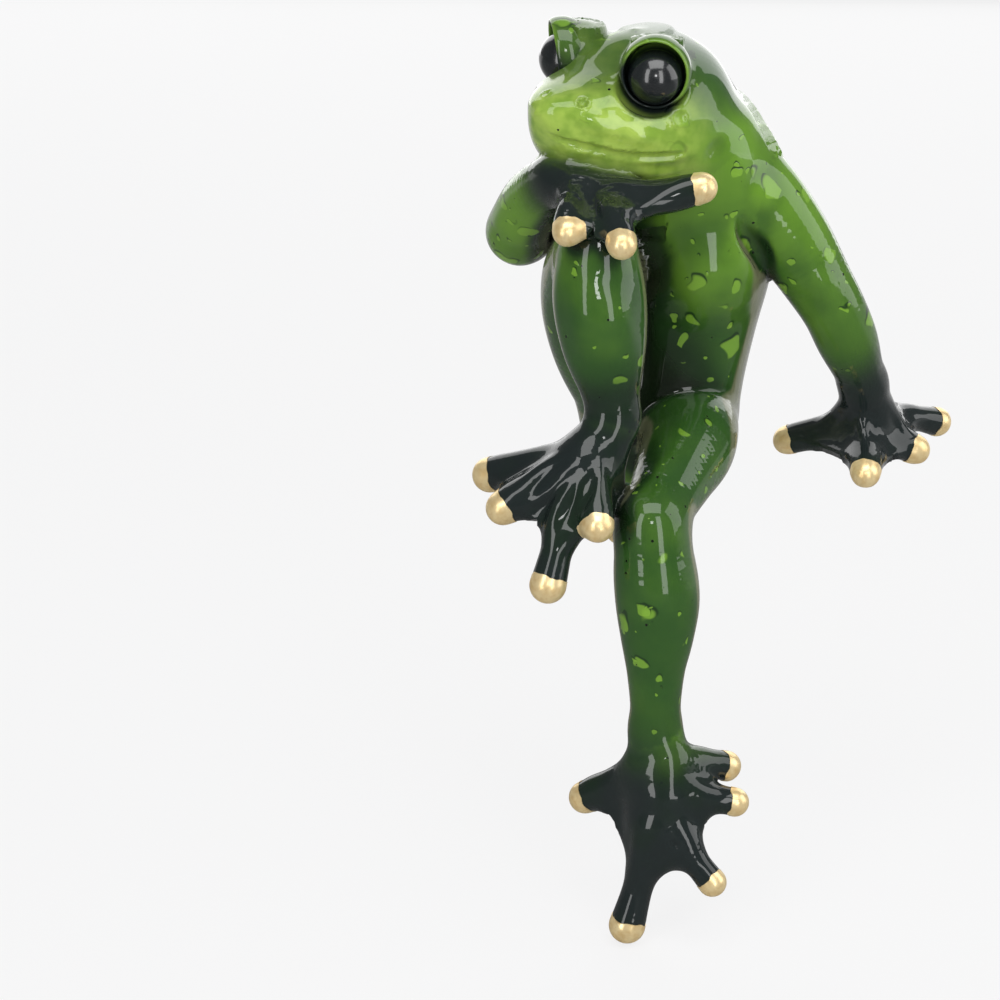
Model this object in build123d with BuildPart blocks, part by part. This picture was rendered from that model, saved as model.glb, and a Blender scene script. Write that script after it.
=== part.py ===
"""A shelf-sitting frog ornament, cast in sections that are pinned, glued and glazed over.

The frog faces -Y, its left side is +X, and Z = 0 is the shelf that it sits on. Its left leg hangs
in front of the shelf, its right knee is drawn up, its chin rests on its right hand and its left
hand is planted on the shelf.
"""
import os
from math import cos, radians, sin

from build123d import *

os.makedirs("parts", exist_ok=True)

# The whole frog
SITTING_HEIGHT = 120.0
HANGING_LENGTH = 105.0
SEAT_DEPTH = 60.0

# Trunk
TRUNK_WIDTH = 56.0
TRUNK_DEPTH = 46.0
SHOULDER_OVERHANG = 14.0
SHOULDER_SPAN = TRUNK_WIDTH + SHOULDER_OVERHANG
FELT_THICKNESS = 1.2
FELT_MARGIN = 3.0

# Head
HEAD_LENGTH = 40.0
HEAD_WIDTH = 51.0
HEAD_HEIGHT = 36.0
HEAD_TURN = 22.6
NECK_SLOPE = 36.0
EYE_RADIUS = 6.8
LID_RADIUS = 8.6
EYE_SPACING = 30.8
EYE_OUTLOOK = 38.0
EYE_FIT = 0.1
MOUTH_GAP = 0.8
MOUTH_DEPTH = 1.2
MOUTH_TILT = 3.0
NOSTRIL_RADIUS = 0.9
NOSTRIL_SPACING = 9.0

# Limbs
THIGH_RADIUS = 14.5
CALF_RADIUS = 10.8
UPPER_ARM_RADIUS = 11.0
FOREARM_RADIUS = 8.4

# Hands and feet
PALM_RADIUS = 6.8
INSTEP_RADIUS = 8.2
TOE_RADIUS = 3.8
TOE_BALL_RADIUS = 4.3
FINGER_RADIUS = 3.1
FINGER_BALL_RADIUS = 3.5
GILT_ANGLE = 112.0
WEB_THICKNESS = 2.4

# Steel pins across the glue joints
NECK_PIN_RADIUS = 2.0
NECK_PIN_LENGTH = 20.0
BODY_PIN_RADIUS = 1.5
BODY_PIN_LENGTH = 14.0
WIRE_PIN_RADIUS = 0.8
WIRE_PIN_LENGTH = 10.0
PIN_FIT = 0.05


def at(side_share, back_share, up_share):
    """A place on the frog: to its left, towards its back, and above or below the shelf."""
    height = SITTING_HEIGHT if up_share > 0 else HANGING_LENGTH
    return Vector(side_share * SHOULDER_SPAN, back_share * SEAT_DEPTH, up_share * height)


# Joints of the skeleton
LEFT_HIP = at(0.150, 0.083, 0.135)
LEFT_MID_THIGH = at(0.216, -0.200, 0.114)
LEFT_KNEE = at(0.243, -0.700, 0.033)
LEFT_ANKLE = at(0.296, -0.767, -0.476)
LEFT_HEEL = at(0.322, -0.808, -0.595)
LEFT_INSTEP = at(0.345, -0.850, -0.700)
RIGHT_HIP = at(-0.140, 0.117, 0.135)
RIGHT_MID_THIGH = at(-0.143, -0.250, 0.408)
RIGHT_KNEE = at(0.000, -0.617, 0.606)
RIGHT_ANKLE = at(0.073, -0.633, 0.243)
RIGHT_HEEL = at(0.020, -0.700, 0.180)
RIGHT_INSTEP = at(-0.020, -0.780, 0.143)
LEFT_SHOULDER = at(0.350, 0.133, 0.652)
LEFT_ELBOW = at(0.629, 0.300, 0.385)
LEFT_WRIST = at(0.707, 0.483, 0.200)
LEFT_PALM = at(0.693, 0.617, 0.078)
RIGHT_SHOULDER = at(-0.280, 0.167, 0.695)
RIGHT_ELBOW = at(-0.479, -0.083, 0.540)
RIGHT_WRIST = at(-0.186, -0.483, 0.722)
RIGHT_PALM = at(0.029, -0.510, 0.702)
SHELF_FRONT = at(0, -0.517, 0)

# The fingers and toes: the root of each, and the ball at its end
LEFT_FINGERS = (
    (LEFT_PALM, at(0.409, 0.517, 0.030)),
    (LEFT_PALM, at(0.791, 0.243, 0.029)),
    (LEFT_PALM, at(0.896, 0.640, 0.032)),
    (LEFT_PALM, at(0.896, 0.960, 0.050)),
)
RIGHT_FINGERS = (
    (RIGHT_PALM, at(-0.044, -0.833, 0.657)),
    (RIGHT_PALM, at(0.157, -0.833, 0.643)),
    (RIGHT_PALM, at(0.330, -0.467, 0.727)),
)
LEFT_TOES = (
    (LEFT_HEEL, at(0.024, -0.767, -0.696)),
    (LEFT_INSTEP, at(0.264, -0.967, -0.960)),
    (LEFT_INSTEP, at(0.559, -0.867, -0.828)),
    (LEFT_HEEL, at(0.587, -0.700, -0.651)),
    (LEFT_HEEL, at(0.514, -0.567, -0.595)),
)
RIGHT_TOES = (
    (RIGHT_INSTEP, at(-0.384, -0.700, 0.088)),
    (RIGHT_INSTEP, at(-0.259, -0.900, 0.059)),
    (RIGHT_INSTEP, at(-0.036, -1.033, -0.077)),
    (RIGHT_INSTEP, at(0.129, -0.967, 0.063)),
    (RIGHT_HEEL, at(0.074, -0.593, -0.017)),
)

# Level, half width, half depth and set-back of the trunk, as shares of its own sizes
TRUNK_SHARES = (
    (0.000, 0.62, 0.80, 0.10),
    (0.100, 0.74, 0.95, 0.11),
    (0.310, 0.84, 0.92, 0.16),
    (0.510, 1.04, 0.96, 0.15),
    (0.655, 1.06, 1.00, 0.09),
    (0.775, 0.97, 0.96, 0.03),
    (0.880, 0.79, 0.80, -0.04),
    (0.950, 0.47, 0.50, -0.10),
    (0.985, 0.16, 0.18, -0.13),
)

# Distance forward, half width, height above, depth below and rise of the head's sections
HEAD_SHARES = (
    (-0.40, 0.41, 0.39, 0.40, 0.02),
    (-0.15, 0.49, 0.38, 0.60, 0.02),
    (0.12, 0.47, 0.33, 0.58, 0.00),
    (0.33, 0.36, 0.26, 0.47, 0.02),
    (0.46, 0.24, 0.19, 0.31, 0.05),
    (0.55, 0.15, 0.13, 0.19, 0.08),
    (0.60, 0.07, 0.07, 0.10, 0.09),
)

# Where the eyes and nostrils sit on the head: ahead, and above its middle
EYE_AHEAD_SHARE = 0.07
EYE_RISE_SHARE = 0.29
LID_SET_BACK_SHARE = 0.70
LID_RISE_SHARE = 0.22
NOSTRIL_AHEAD_SHARE = 0.50
NOSTRIL_RISE_SHARE = 0.20
MOUTH_DROP_SHARE = 0.10

# Radii along each limb, evenly spaced, as shares of its fullest radius
HIP_SHARES = (1.00, 1.00, 0.88)
THIGH_SHARES = (0.86, 0.75, 0.64, 0.56)
RAISED_HIP_SHARES = (0.62, 0.80, 0.91)
RAISED_THIGH_SHARES = (0.90, 0.88, 0.80, 0.69)
HANGING_SHIN_SHARES = (0.76, 0.98, 1.00, 0.84, 0.68, 0.60, 0.61)
RAISED_SHIN_SHARES = (0.93, 0.97, 0.95, 0.84, 0.62, 0.57)
UPPER_ARM_SHARES = (1.00, 0.93, 0.75)
FOREARM_SHARES = (0.97, 0.97, 0.84, 0.73)
ANKLE_SHARE = 0.60
WRIST_SHARE = 0.73

# Where the pins cross the shoulders and hips, along the limb beside each
LEFT_SHOULDER_PIN_SHARE = 0.30
RIGHT_SHOULDER_PIN_SHARE = 0.60
LEFT_HIP_PIN_SHARE = 0.95
RIGHT_HIP_PIN_SHARE = 0.45

# Proportions of the hands and feet
DIGIT_WAIST_SHARE = 0.62
DIGIT_ROOT_SHARE = 1.25
WEB_REACH_SHARE = 0.78
WEB_DIP_SHARE = 0.35
KNUCKLE_SHARE = 0.75


def direction(start, end):
    """The unit vector from one place to another."""
    return (end - start).normalized()


def bone(start, end, radii):
    """A limb with evenly spaced radii along it, rounded over at both ends."""
    run = end - start
    side = Plane(origin=start, z_dir=run).x_dir
    first = radii[0]
    last = radii[-1]
    step = run.length / (len(radii) - 1)
    crests = [(step * place, radius) for place, radius in enumerate(radii)]
    with BuildSketch(Plane(origin=start, x_dir=run, z_dir=side)) as outline:
        with BuildLine():
            CenterArc((0, 0), first, 90, 90)
            Spline(*crests, tangents=((1, 0), (1, 0)))
            CenterArc((run.length, 0), last, 0, 90)
            Line((run.length + last, 0), (-first, 0))
        make_face()
    revolve(outline.sketch, axis=Axis(start, run))


def limb(start, end, fullest, shares):
    """A bone whose radii are shares of its fullest one."""
    bone(start, end, [fullest * share for share in shares])


def digit(root, tip, radius, ball_radius):
    """A finger or toe from its root up to its gilt end."""
    run = tip - root
    side = Plane(origin=root, z_dir=run).x_dir
    root_radius = radius * DIGIT_ROOT_SHARE
    gilt_line = run.length + ball_radius * cos(radians(GILT_ANGLE))
    gilt_radius = ball_radius * sin(radians(GILT_ANGLE))
    with BuildSketch(Plane(origin=root, x_dir=run, z_dir=side)) as outline:
        with BuildLine():
            CenterArc((0, 0), root_radius, 90, 90)
            Spline(
                (0, root_radius),
                (gilt_line * DIGIT_WAIST_SHARE, radius),
                (gilt_line, gilt_radius),
                tangents=((1, 0), (1, 0)),
            )
            Line((gilt_line, gilt_radius), (gilt_line, 0))
            Line((gilt_line, 0), (-root_radius, 0))
        make_face()
    revolve(outline.sketch, axis=Axis(root, run))


def gilt_end(root, tip, ball_radius):
    """The gilded ball at the end of a finger or toe."""
    run = tip - root
    side = Plane(origin=root, z_dir=run).x_dir
    gilt_line = run.length + ball_radius * cos(radians(GILT_ANGLE))
    gilt_radius = ball_radius * sin(radians(GILT_ANGLE))
    with BuildSketch(Plane(origin=root, x_dir=run, z_dir=side)) as outline:
        with BuildLine():
            Line((gilt_line, 0), (gilt_line, gilt_radius))
            CenterArc((run.length, 0), ball_radius, 0, GILT_ANGLE)
            Line((run.length + ball_radius, 0), (gilt_line, 0))
        make_face()
    revolve(outline.sketch, axis=Axis(root, run))


def web(root, tip, next_tip, reach_share):
    """The skin between two fingers or toes, hollowed along its free edge."""
    normal = (tip - root).cross(next_tip - root)
    skin = Plane(origin=root, x_dir=tip - root, z_dir=normal)
    first = skin.to_local_coords(tip) * reach_share
    last = skin.to_local_coords(next_tip) * reach_share
    middle = (first + last) / 2 * (1 - WEB_DIP_SHARE)
    with BuildSketch(skin) as outline:
        with BuildLine():
            Line((0, 0), (first.X, first.Y))
            Bezier((first.X, first.Y), (middle.X, middle.Y), (last.X, last.Y))
            Line((last.X, last.Y), (0, 0))
        make_face()
    extrude(outline.sketch, amount=WEB_THICKNESS / 2, both=True)


def digits(places, radius, ball_radius):
    """All the fingers of a hand or toes of a foot."""
    for root, tip in places:
        digit(root, tip, radius, ball_radius)


def gilt_ends(places, ball_radius):
    """The gilded ends of a hand or foot."""
    for root, tip in places:
        gilt_end(root, tip, ball_radius)


def webs(places):
    """The skin between each finger or toe and the next."""
    for (root, tip), (next_root, next_tip) in zip(places, places[1:]):
        web((root + next_root) / 2, tip, next_tip, WEB_REACH_SHARE)


def clear_of_shelf():
    """Cut away what would stand inside the shelf."""
    depth = HANGING_LENGTH
    with Locations((0, SHELF_FRONT.Y, 0)):
        Box(
            SHOULDER_SPAN * 3,
            SEAT_DEPTH * 3,
            depth,
            align=(Align.CENTER, Align.MIN, Align.MAX),
            mode=Mode.SUBTRACT,
        )


def pin(middle, along, radius, length, mode=Mode.ADD):
    """A round pin with its middle on a glue joint."""
    with BuildSketch(Plane(origin=middle, z_dir=along)) as outline:
        Circle(radius)
    extrude(outline.sketch, amount=length / 2, both=True, mode=mode)


def pin_hole(middle, along, radius, length):
    """The hole that a pin is glued into."""
    pin(middle, along, radius + PIN_FIT, length + 2 * PIN_FIT, Mode.SUBTRACT)


def pins(group):
    """A set of pins in their own piece."""
    for middle, along, radius, length in group:
        pin(middle, along, radius, length)


def pin_holes(*groups):
    """The holes for the pins that cross a piece's joints."""
    for group in groups:
        for middle, along, radius, length in group:
            pin_hole(middle, along, radius, length)


def trunk_form():
    """The body from the seat up over the hunched back to the crown."""
    sections = []
    for level, width, depth, back in TRUNK_SHARES:
        height = FELT_THICKNESS + level * (SITTING_HEIGHT - FELT_THICKNESS)
        with BuildSketch(Plane.XY.offset(height)) as outline:
            with Locations((0, back * SEAT_DEPTH)):
                Ellipse(width * TRUNK_WIDTH / 2, depth * TRUNK_DEPTH / 2)
        sections.append(outline.sketch)
    loft(sections)


# The head's own directions
HEAD_MIDDLE = at(-0.080, -0.188, 0.842)
FORWARD = Vector(-sin(radians(HEAD_TURN)), -cos(radians(HEAD_TURN)), 0)
LEFTWARD = Vector(cos(radians(HEAD_TURN)), -sin(radians(HEAD_TURN)), 0)
UPWARD = Vector(0, 0, 1)
NECK_WAY = FORWARD * sin(radians(NECK_SLOPE)) + UPWARD * cos(radians(NECK_SLOPE))
NECK_PLANE = Plane(origin=at(0, 0.033, 0.767), z_dir=NECK_WAY)


def head_form(inset):
    """The head from behind the eyes to the snout, or a core that lies inside its skin."""
    sections = []
    for ahead, width, above, below, rise in HEAD_SHARES:
        forward = FORWARD * (ahead * (HEAD_LENGTH - 2 * inset))
        middle = HEAD_MIDDLE + forward + UPWARD * (rise * HEAD_HEIGHT)
        half_width = width * (HEAD_WIDTH - 2 * inset)
        half_above = above * (HEAD_HEIGHT - 2 * inset)
        half_below = below * (HEAD_HEIGHT - 2 * inset)
        with BuildSketch(Plane(origin=middle, x_dir=LEFTWARD, z_dir=FORWARD)) as outline:
            with BuildLine():
                EllipticalCenterArc((0, 0), half_width, half_above, start_angle=0, arc_size=180)
                EllipticalCenterArc((0, 0), half_width, half_below, start_angle=180, arc_size=180)
            make_face()
        sections.append(outline.sketch)
    loft(sections)


def on_head(ahead_share, left, rise_share):
    """A place on the head: ahead of its middle, to its left and above its middle."""
    ahead = FORWARD * (ahead_share * HEAD_LENGTH)
    return HEAD_MIDDLE + ahead + LEFTWARD * left + UPWARD * (rise_share * HEAD_HEIGHT)


def eye_place(side):
    """The centre of an eyeball; side is 1 for the left and -1 for the right."""
    return on_head(EYE_AHEAD_SHARE, side * EYE_SPACING / 2, EYE_RISE_SHARE)


def lid_place(side):
    """The centre of an eyelid, behind the eyeball and above it."""
    outlook = radians(EYE_OUTLOOK)
    gaze = FORWARD * cos(outlook) + LEFTWARD * (side * sin(outlook))
    set_back = gaze * (LID_SET_BACK_SHARE * EYE_RADIUS)
    return eye_place(side) - set_back + UPWARD * (LID_RISE_SHARE * EYE_RADIUS)


def ball(centre, radius, mode=Mode.ADD):
    """A sphere about a place, with its poles ahead and behind."""
    with Locations(Plane(origin=centre, z_dir=FORWARD)):
        Sphere(radius, mode=mode)


# Felt pad under the seat
seat_level, seat_width, seat_depth, seat_back = TRUNK_SHARES[0]
with BuildPart() as seat_felt:
    with BuildSketch(Plane.XY):
        with Locations((0, seat_back * SEAT_DEPTH)):
            Ellipse(
                seat_width * TRUNK_WIDTH / 2 - FELT_MARGIN,
                seat_depth * TRUNK_DEPTH / 2 - FELT_MARGIN,
            )
    extrude(amount=FELT_THICKNESS)

# The ways that the limbs run, and the planes where they are joined
left_thigh_way = direction(LEFT_MID_THIGH, LEFT_KNEE)
left_shin_way = direction(LEFT_KNEE, LEFT_ANKLE)
left_knee_plane = Plane(origin=LEFT_KNEE, z_dir=left_thigh_way + left_shin_way)
left_ankle_plane = Plane(origin=LEFT_ANKLE, z_dir=left_shin_way)
right_thigh_way = direction(RIGHT_MID_THIGH, RIGHT_KNEE)
right_shin_way = direction(RIGHT_KNEE, RIGHT_ANKLE)
right_knee_plane = Plane(origin=RIGHT_KNEE, z_dir=right_thigh_way + right_shin_way)
right_ankle_plane = Plane(origin=RIGHT_ANKLE, z_dir=right_shin_way)
left_forearm_way = direction(LEFT_ELBOW, LEFT_WRIST)
left_wrist_plane = Plane(origin=LEFT_WRIST, z_dir=left_forearm_way)
right_forearm_way = direction(RIGHT_ELBOW, RIGHT_WRIST)
right_wrist_plane = Plane(origin=RIGHT_WRIST, z_dir=right_forearm_way)

# The pins: middle, way, radius and length of each
NECK_PIN = ((NECK_PLANE.origin, NECK_PLANE.z_dir, NECK_PIN_RADIUS, NECK_PIN_LENGTH),)


def limb_pin(start, end, share, radius, length):
    """A pin along a limb, a share of the way from one joint to the next."""
    return start + (end - start) * share, direction(start, end), radius, length


LEFT_SHOULDER_PIN = limb_pin(
    LEFT_SHOULDER, LEFT_ELBOW, LEFT_SHOULDER_PIN_SHARE, BODY_PIN_RADIUS, BODY_PIN_LENGTH
)
RIGHT_SHOULDER_PIN = limb_pin(
    RIGHT_SHOULDER, RIGHT_ELBOW, RIGHT_SHOULDER_PIN_SHARE, BODY_PIN_RADIUS, BODY_PIN_LENGTH
)
LEFT_HIP_PIN = limb_pin(
    LEFT_HIP, LEFT_MID_THIGH, LEFT_HIP_PIN_SHARE, BODY_PIN_RADIUS, BODY_PIN_LENGTH
)
RIGHT_HIP_PIN = limb_pin(
    RIGHT_HIP, RIGHT_KNEE, RIGHT_HIP_PIN_SHARE, BODY_PIN_RADIUS, BODY_PIN_LENGTH
)
SHOULDER_PINS = (LEFT_SHOULDER_PIN, RIGHT_SHOULDER_PIN)
HIP_PINS = (LEFT_HIP_PIN, RIGHT_HIP_PIN)
KNEE_PINS = (
    (LEFT_KNEE, left_knee_plane.z_dir, BODY_PIN_RADIUS, BODY_PIN_LENGTH),
    (RIGHT_KNEE, right_knee_plane.z_dir, BODY_PIN_RADIUS, BODY_PIN_LENGTH),
)
WRIST_PINS = (
    (LEFT_WRIST, left_forearm_way, WIRE_PIN_RADIUS, WIRE_PIN_LENGTH),
    (RIGHT_WRIST, right_forearm_way, WIRE_PIN_RADIUS, WIRE_PIN_LENGTH),
)
ANKLE_PINS = (
    (LEFT_ANKLE, left_shin_way, WIRE_PIN_RADIUS, WIRE_PIN_LENGTH),
    (RIGHT_ANKLE, right_shin_way, WIRE_PIN_RADIUS, WIRE_PIN_LENGTH),
)

with BuildPart() as neck_pin:
    pins(NECK_PIN)

with BuildPart() as shoulder_pins:
    pins(SHOULDER_PINS)

with BuildPart() as hip_pins:
    pins(HIP_PINS)

with BuildPart() as knee_pins:
    pins(KNEE_PINS)

with BuildPart() as wrist_pins:
    pins(WRIST_PINS)

with BuildPart() as ankle_pins:
    pins(ANKLE_PINS)

# Trunk, from the seat to the neck joint
with BuildPart() as torso:
    trunk_form()
    split(bisect_by=NECK_PLANE, keep=Keep.BOTTOM)
    pin_holes(NECK_PIN, SHOULDER_PINS, HIP_PINS)

# Head, with sockets for the eyes, the mouth line and the nostrils
mouth_middle = HEAD_MIDDLE - UPWARD * (MOUTH_DROP_SHARE * HEAD_HEIGHT)
mouth_plane = Plane(origin=mouth_middle, x_dir=LEFTWARD, z_dir=UPWARD).rotated((-MOUTH_TILT, 0, 0))
with BuildPart() as head_core:
    head_form(MOUTH_DEPTH)

with BuildPart() as mouth_line:
    with BuildSketch(mouth_plane):
        Rectangle(HEAD_WIDTH * 2, HEAD_LENGTH * 2)
    extrude(amount=MOUTH_GAP / 2, both=True)
    split(bisect_by=Plane(origin=mouth_middle, z_dir=FORWARD), keep=Keep.TOP)
    add(head_core.part, mode=Mode.SUBTRACT)

with BuildPart() as head:
    trunk_form()
    head_form(0)
    for side in (1, -1):
        ball(lid_place(side), LID_RADIUS)
    split(bisect_by=NECK_PLANE, keep=Keep.TOP)
    for side in (1, -1):
        nostril = on_head(NOSTRIL_AHEAD_SHARE, side * NOSTRIL_SPACING / 2, NOSTRIL_RISE_SHARE)
        ball(eye_place(side), EYE_RADIUS + EYE_FIT, Mode.SUBTRACT)
        ball(nostril, NOSTRIL_RADIUS, Mode.SUBTRACT)
    add(mouth_line.part, mode=Mode.SUBTRACT)
    pin_holes(NECK_PIN)

with BuildPart() as left_eye:
    ball(eye_place(1), EYE_RADIUS)

with BuildPart() as right_eye:
    ball(eye_place(-1), EYE_RADIUS)

# Left leg, hanging over the front of the shelf
with BuildPart() as left_thigh:
    limb(LEFT_HIP, LEFT_MID_THIGH, THIGH_RADIUS, HIP_SHARES)
    limb(LEFT_MID_THIGH, LEFT_KNEE, THIGH_RADIUS, THIGH_SHARES)
    split(bisect_by=left_knee_plane, keep=Keep.BOTTOM)
    clear_of_shelf()
    add(torso.part, mode=Mode.SUBTRACT)
    add(seat_felt.part, mode=Mode.SUBTRACT)
    pin_holes(HIP_PINS, KNEE_PINS)

with BuildPart() as left_shin:
    limb(LEFT_KNEE, LEFT_ANKLE, CALF_RADIUS, HANGING_SHIN_SHARES)
    split(bisect_by=left_knee_plane, keep=Keep.TOP)
    split(bisect_by=left_ankle_plane, keep=Keep.BOTTOM)
    clear_of_shelf()
    pin_holes(KNEE_PINS, ANKLE_PINS)

with BuildPart() as left_foot:
    bone(LEFT_ANKLE, LEFT_INSTEP, (CALF_RADIUS * ANKLE_SHARE, INSTEP_RADIUS, INSTEP_RADIUS * KNUCKLE_SHARE))
    split(bisect_by=left_ankle_plane, keep=Keep.TOP)
    digits(LEFT_TOES, TOE_RADIUS, TOE_BALL_RADIUS)
    webs(LEFT_TOES)
    pin_holes(ANKLE_PINS)

with BuildPart() as left_toe_ends:
    gilt_ends(LEFT_TOES, TOE_BALL_RADIUS)

# Right leg, with its knee drawn up and its foot on the edge of the shelf
with BuildPart() as right_thigh:
    limb(RIGHT_HIP, RIGHT_MID_THIGH, THIGH_RADIUS, RAISED_HIP_SHARES)
    limb(RIGHT_MID_THIGH, RIGHT_KNEE, THIGH_RADIUS, RAISED_THIGH_SHARES)
    split(bisect_by=right_knee_plane, keep=Keep.BOTTOM)
    clear_of_shelf()
    add(torso.part, mode=Mode.SUBTRACT)
    pin_holes(HIP_PINS, KNEE_PINS)

with BuildPart() as right_shin:
    limb(RIGHT_KNEE, RIGHT_ANKLE, CALF_RADIUS, RAISED_SHIN_SHARES)
    split(bisect_by=right_knee_plane, keep=Keep.TOP)
    split(bisect_by=right_ankle_plane, keep=Keep.BOTTOM)
    pin_holes(KNEE_PINS, ANKLE_PINS)

with BuildPart() as right_foot:
    bone(RIGHT_ANKLE, RIGHT_INSTEP, (CALF_RADIUS * ANKLE_SHARE, INSTEP_RADIUS, INSTEP_RADIUS * KNUCKLE_SHARE))
    split(bisect_by=right_ankle_plane, keep=Keep.TOP)
    digits(RIGHT_TOES, TOE_RADIUS, TOE_BALL_RADIUS)
    webs(RIGHT_TOES)
    clear_of_shelf()
    pin_holes(ANKLE_PINS)

with BuildPart() as right_toe_ends:
    gilt_ends(RIGHT_TOES, TOE_BALL_RADIUS)

# Left arm, propped on the shelf
with BuildPart() as left_arm:
    limb(LEFT_SHOULDER, LEFT_ELBOW, UPPER_ARM_RADIUS, UPPER_ARM_SHARES)
    limb(LEFT_ELBOW, LEFT_WRIST, FOREARM_RADIUS, FOREARM_SHARES)
    split(bisect_by=left_wrist_plane, keep=Keep.BOTTOM)
    add(torso.part, mode=Mode.SUBTRACT)
    add(head.part, mode=Mode.SUBTRACT)
    pin_holes(SHOULDER_PINS, WRIST_PINS)

with BuildPart() as left_hand:
    bone(LEFT_WRIST, LEFT_PALM, (FOREARM_RADIUS * WRIST_SHARE, PALM_RADIUS, PALM_RADIUS * KNUCKLE_SHARE))
    split(bisect_by=left_wrist_plane, keep=Keep.TOP)
    digits(LEFT_FINGERS, FINGER_RADIUS, FINGER_BALL_RADIUS)
    webs(LEFT_FINGERS)
    clear_of_shelf()
    pin_holes(WRIST_PINS)

with BuildPart() as left_finger_ends:
    gilt_ends(LEFT_FINGERS, FINGER_BALL_RADIUS)
    clear_of_shelf()

# Right arm, with its hand on the raised knee
with BuildPart() as right_arm:
    limb(RIGHT_SHOULDER, RIGHT_ELBOW, UPPER_ARM_RADIUS, UPPER_ARM_SHARES)
    limb(RIGHT_ELBOW, RIGHT_WRIST, FOREARM_RADIUS, FOREARM_SHARES)
    split(bisect_by=right_wrist_plane, keep=Keep.BOTTOM)
    add(torso.part, mode=Mode.SUBTRACT)
    add(head.part, mode=Mode.SUBTRACT)
    add(right_thigh.part, mode=Mode.SUBTRACT)
    add(right_shin.part, mode=Mode.SUBTRACT)
    pin_holes(SHOULDER_PINS, WRIST_PINS)

with BuildPart() as right_hand:
    bone(RIGHT_WRIST, RIGHT_PALM, (FOREARM_RADIUS * WRIST_SHARE, PALM_RADIUS, PALM_RADIUS * KNUCKLE_SHARE))
    split(bisect_by=right_wrist_plane, keep=Keep.TOP)
    digits(RIGHT_FINGERS, FINGER_RADIUS, FINGER_BALL_RADIUS)
    webs(RIGHT_FINGERS)
    add(head.part, mode=Mode.SUBTRACT)
    add(right_thigh.part, mode=Mode.SUBTRACT)
    add(right_shin.part, mode=Mode.SUBTRACT)
    pin_holes(WRIST_PINS)

with BuildPart() as right_finger_ends:
    gilt_ends(RIGHT_FINGERS, FINGER_BALL_RADIUS)
    add(head.part, mode=Mode.SUBTRACT)
    add(right_thigh.part, mode=Mode.SUBTRACT)
    add(right_shin.part, mode=Mode.SUBTRACT)

pieces = {
    "seat_felt": seat_felt,
    "torso": torso,
    "head": head,
    "left_eye": left_eye,
    "right_eye": right_eye,
    "left_thigh": left_thigh,
    "left_shin": left_shin,
    "left_foot": left_foot,
    "left_toe_ends": left_toe_ends,
    "right_thigh": right_thigh,
    "right_shin": right_shin,
    "right_foot": right_foot,
    "right_toe_ends": right_toe_ends,
    "left_arm": left_arm,
    "left_hand": left_hand,
    "left_finger_ends": left_finger_ends,
    "right_arm": right_arm,
    "right_hand": right_hand,
    "right_finger_ends": right_finger_ends,
    "neck_pin": neck_pin,
    "shoulder_pins": shoulder_pins,
    "hip_pins": hip_pins,
    "knee_pins": knee_pins,
    "wrist_pins": wrist_pins,
    "ankle_pins": ankle_pins,
}
for name, piece in pieces.items():
    piece.part.label = name
    export_step(piece.part, f"parts/{name}.step")
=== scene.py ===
"""The glazed shelf-sitting frog: its castings, gilt finger and toe ends, eyes, seat felt and studio."""

import math
from concurrent.futures import ThreadPoolExecutor

import bpy
import numpy as np
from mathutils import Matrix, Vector
from mathutils.bvhtree import BVHTree


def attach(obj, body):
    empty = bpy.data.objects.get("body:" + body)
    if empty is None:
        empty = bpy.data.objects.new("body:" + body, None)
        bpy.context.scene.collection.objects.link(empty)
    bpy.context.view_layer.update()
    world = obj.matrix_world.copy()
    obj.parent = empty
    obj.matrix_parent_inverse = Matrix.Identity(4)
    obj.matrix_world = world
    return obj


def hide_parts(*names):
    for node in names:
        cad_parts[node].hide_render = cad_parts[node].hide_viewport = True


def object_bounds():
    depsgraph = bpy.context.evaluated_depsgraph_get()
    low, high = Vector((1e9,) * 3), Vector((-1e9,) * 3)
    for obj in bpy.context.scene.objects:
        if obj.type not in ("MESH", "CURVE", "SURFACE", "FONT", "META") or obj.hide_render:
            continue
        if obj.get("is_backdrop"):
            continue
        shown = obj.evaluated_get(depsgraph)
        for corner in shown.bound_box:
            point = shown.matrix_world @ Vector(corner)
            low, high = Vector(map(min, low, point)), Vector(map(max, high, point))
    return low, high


bl_info = {
    "name": "Shelf-sitting frog",
    "version": (1, 0, 0),
    "blender": (4, 5, 0),
    "location": "3D View > Sidebar > Frog",
    "description": "Builds a glazed frog figurine that sits on the edge of a shelf",
    "category": "Object",
}

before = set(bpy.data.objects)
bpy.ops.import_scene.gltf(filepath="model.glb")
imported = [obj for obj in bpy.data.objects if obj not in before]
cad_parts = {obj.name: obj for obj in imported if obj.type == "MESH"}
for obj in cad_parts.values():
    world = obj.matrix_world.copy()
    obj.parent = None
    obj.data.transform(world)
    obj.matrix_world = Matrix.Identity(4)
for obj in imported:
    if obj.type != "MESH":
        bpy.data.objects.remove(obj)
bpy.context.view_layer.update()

MM = 0.001
FAR = 1000.0
REACH = 8.0
BATCH = 6000
THREADS = 4
PRISM_SIDES = ((0, 2, 1), (3, 4, 5), (0, 1, 4, 3), (1, 2, 5, 4), (2, 0, 3, 5))

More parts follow.
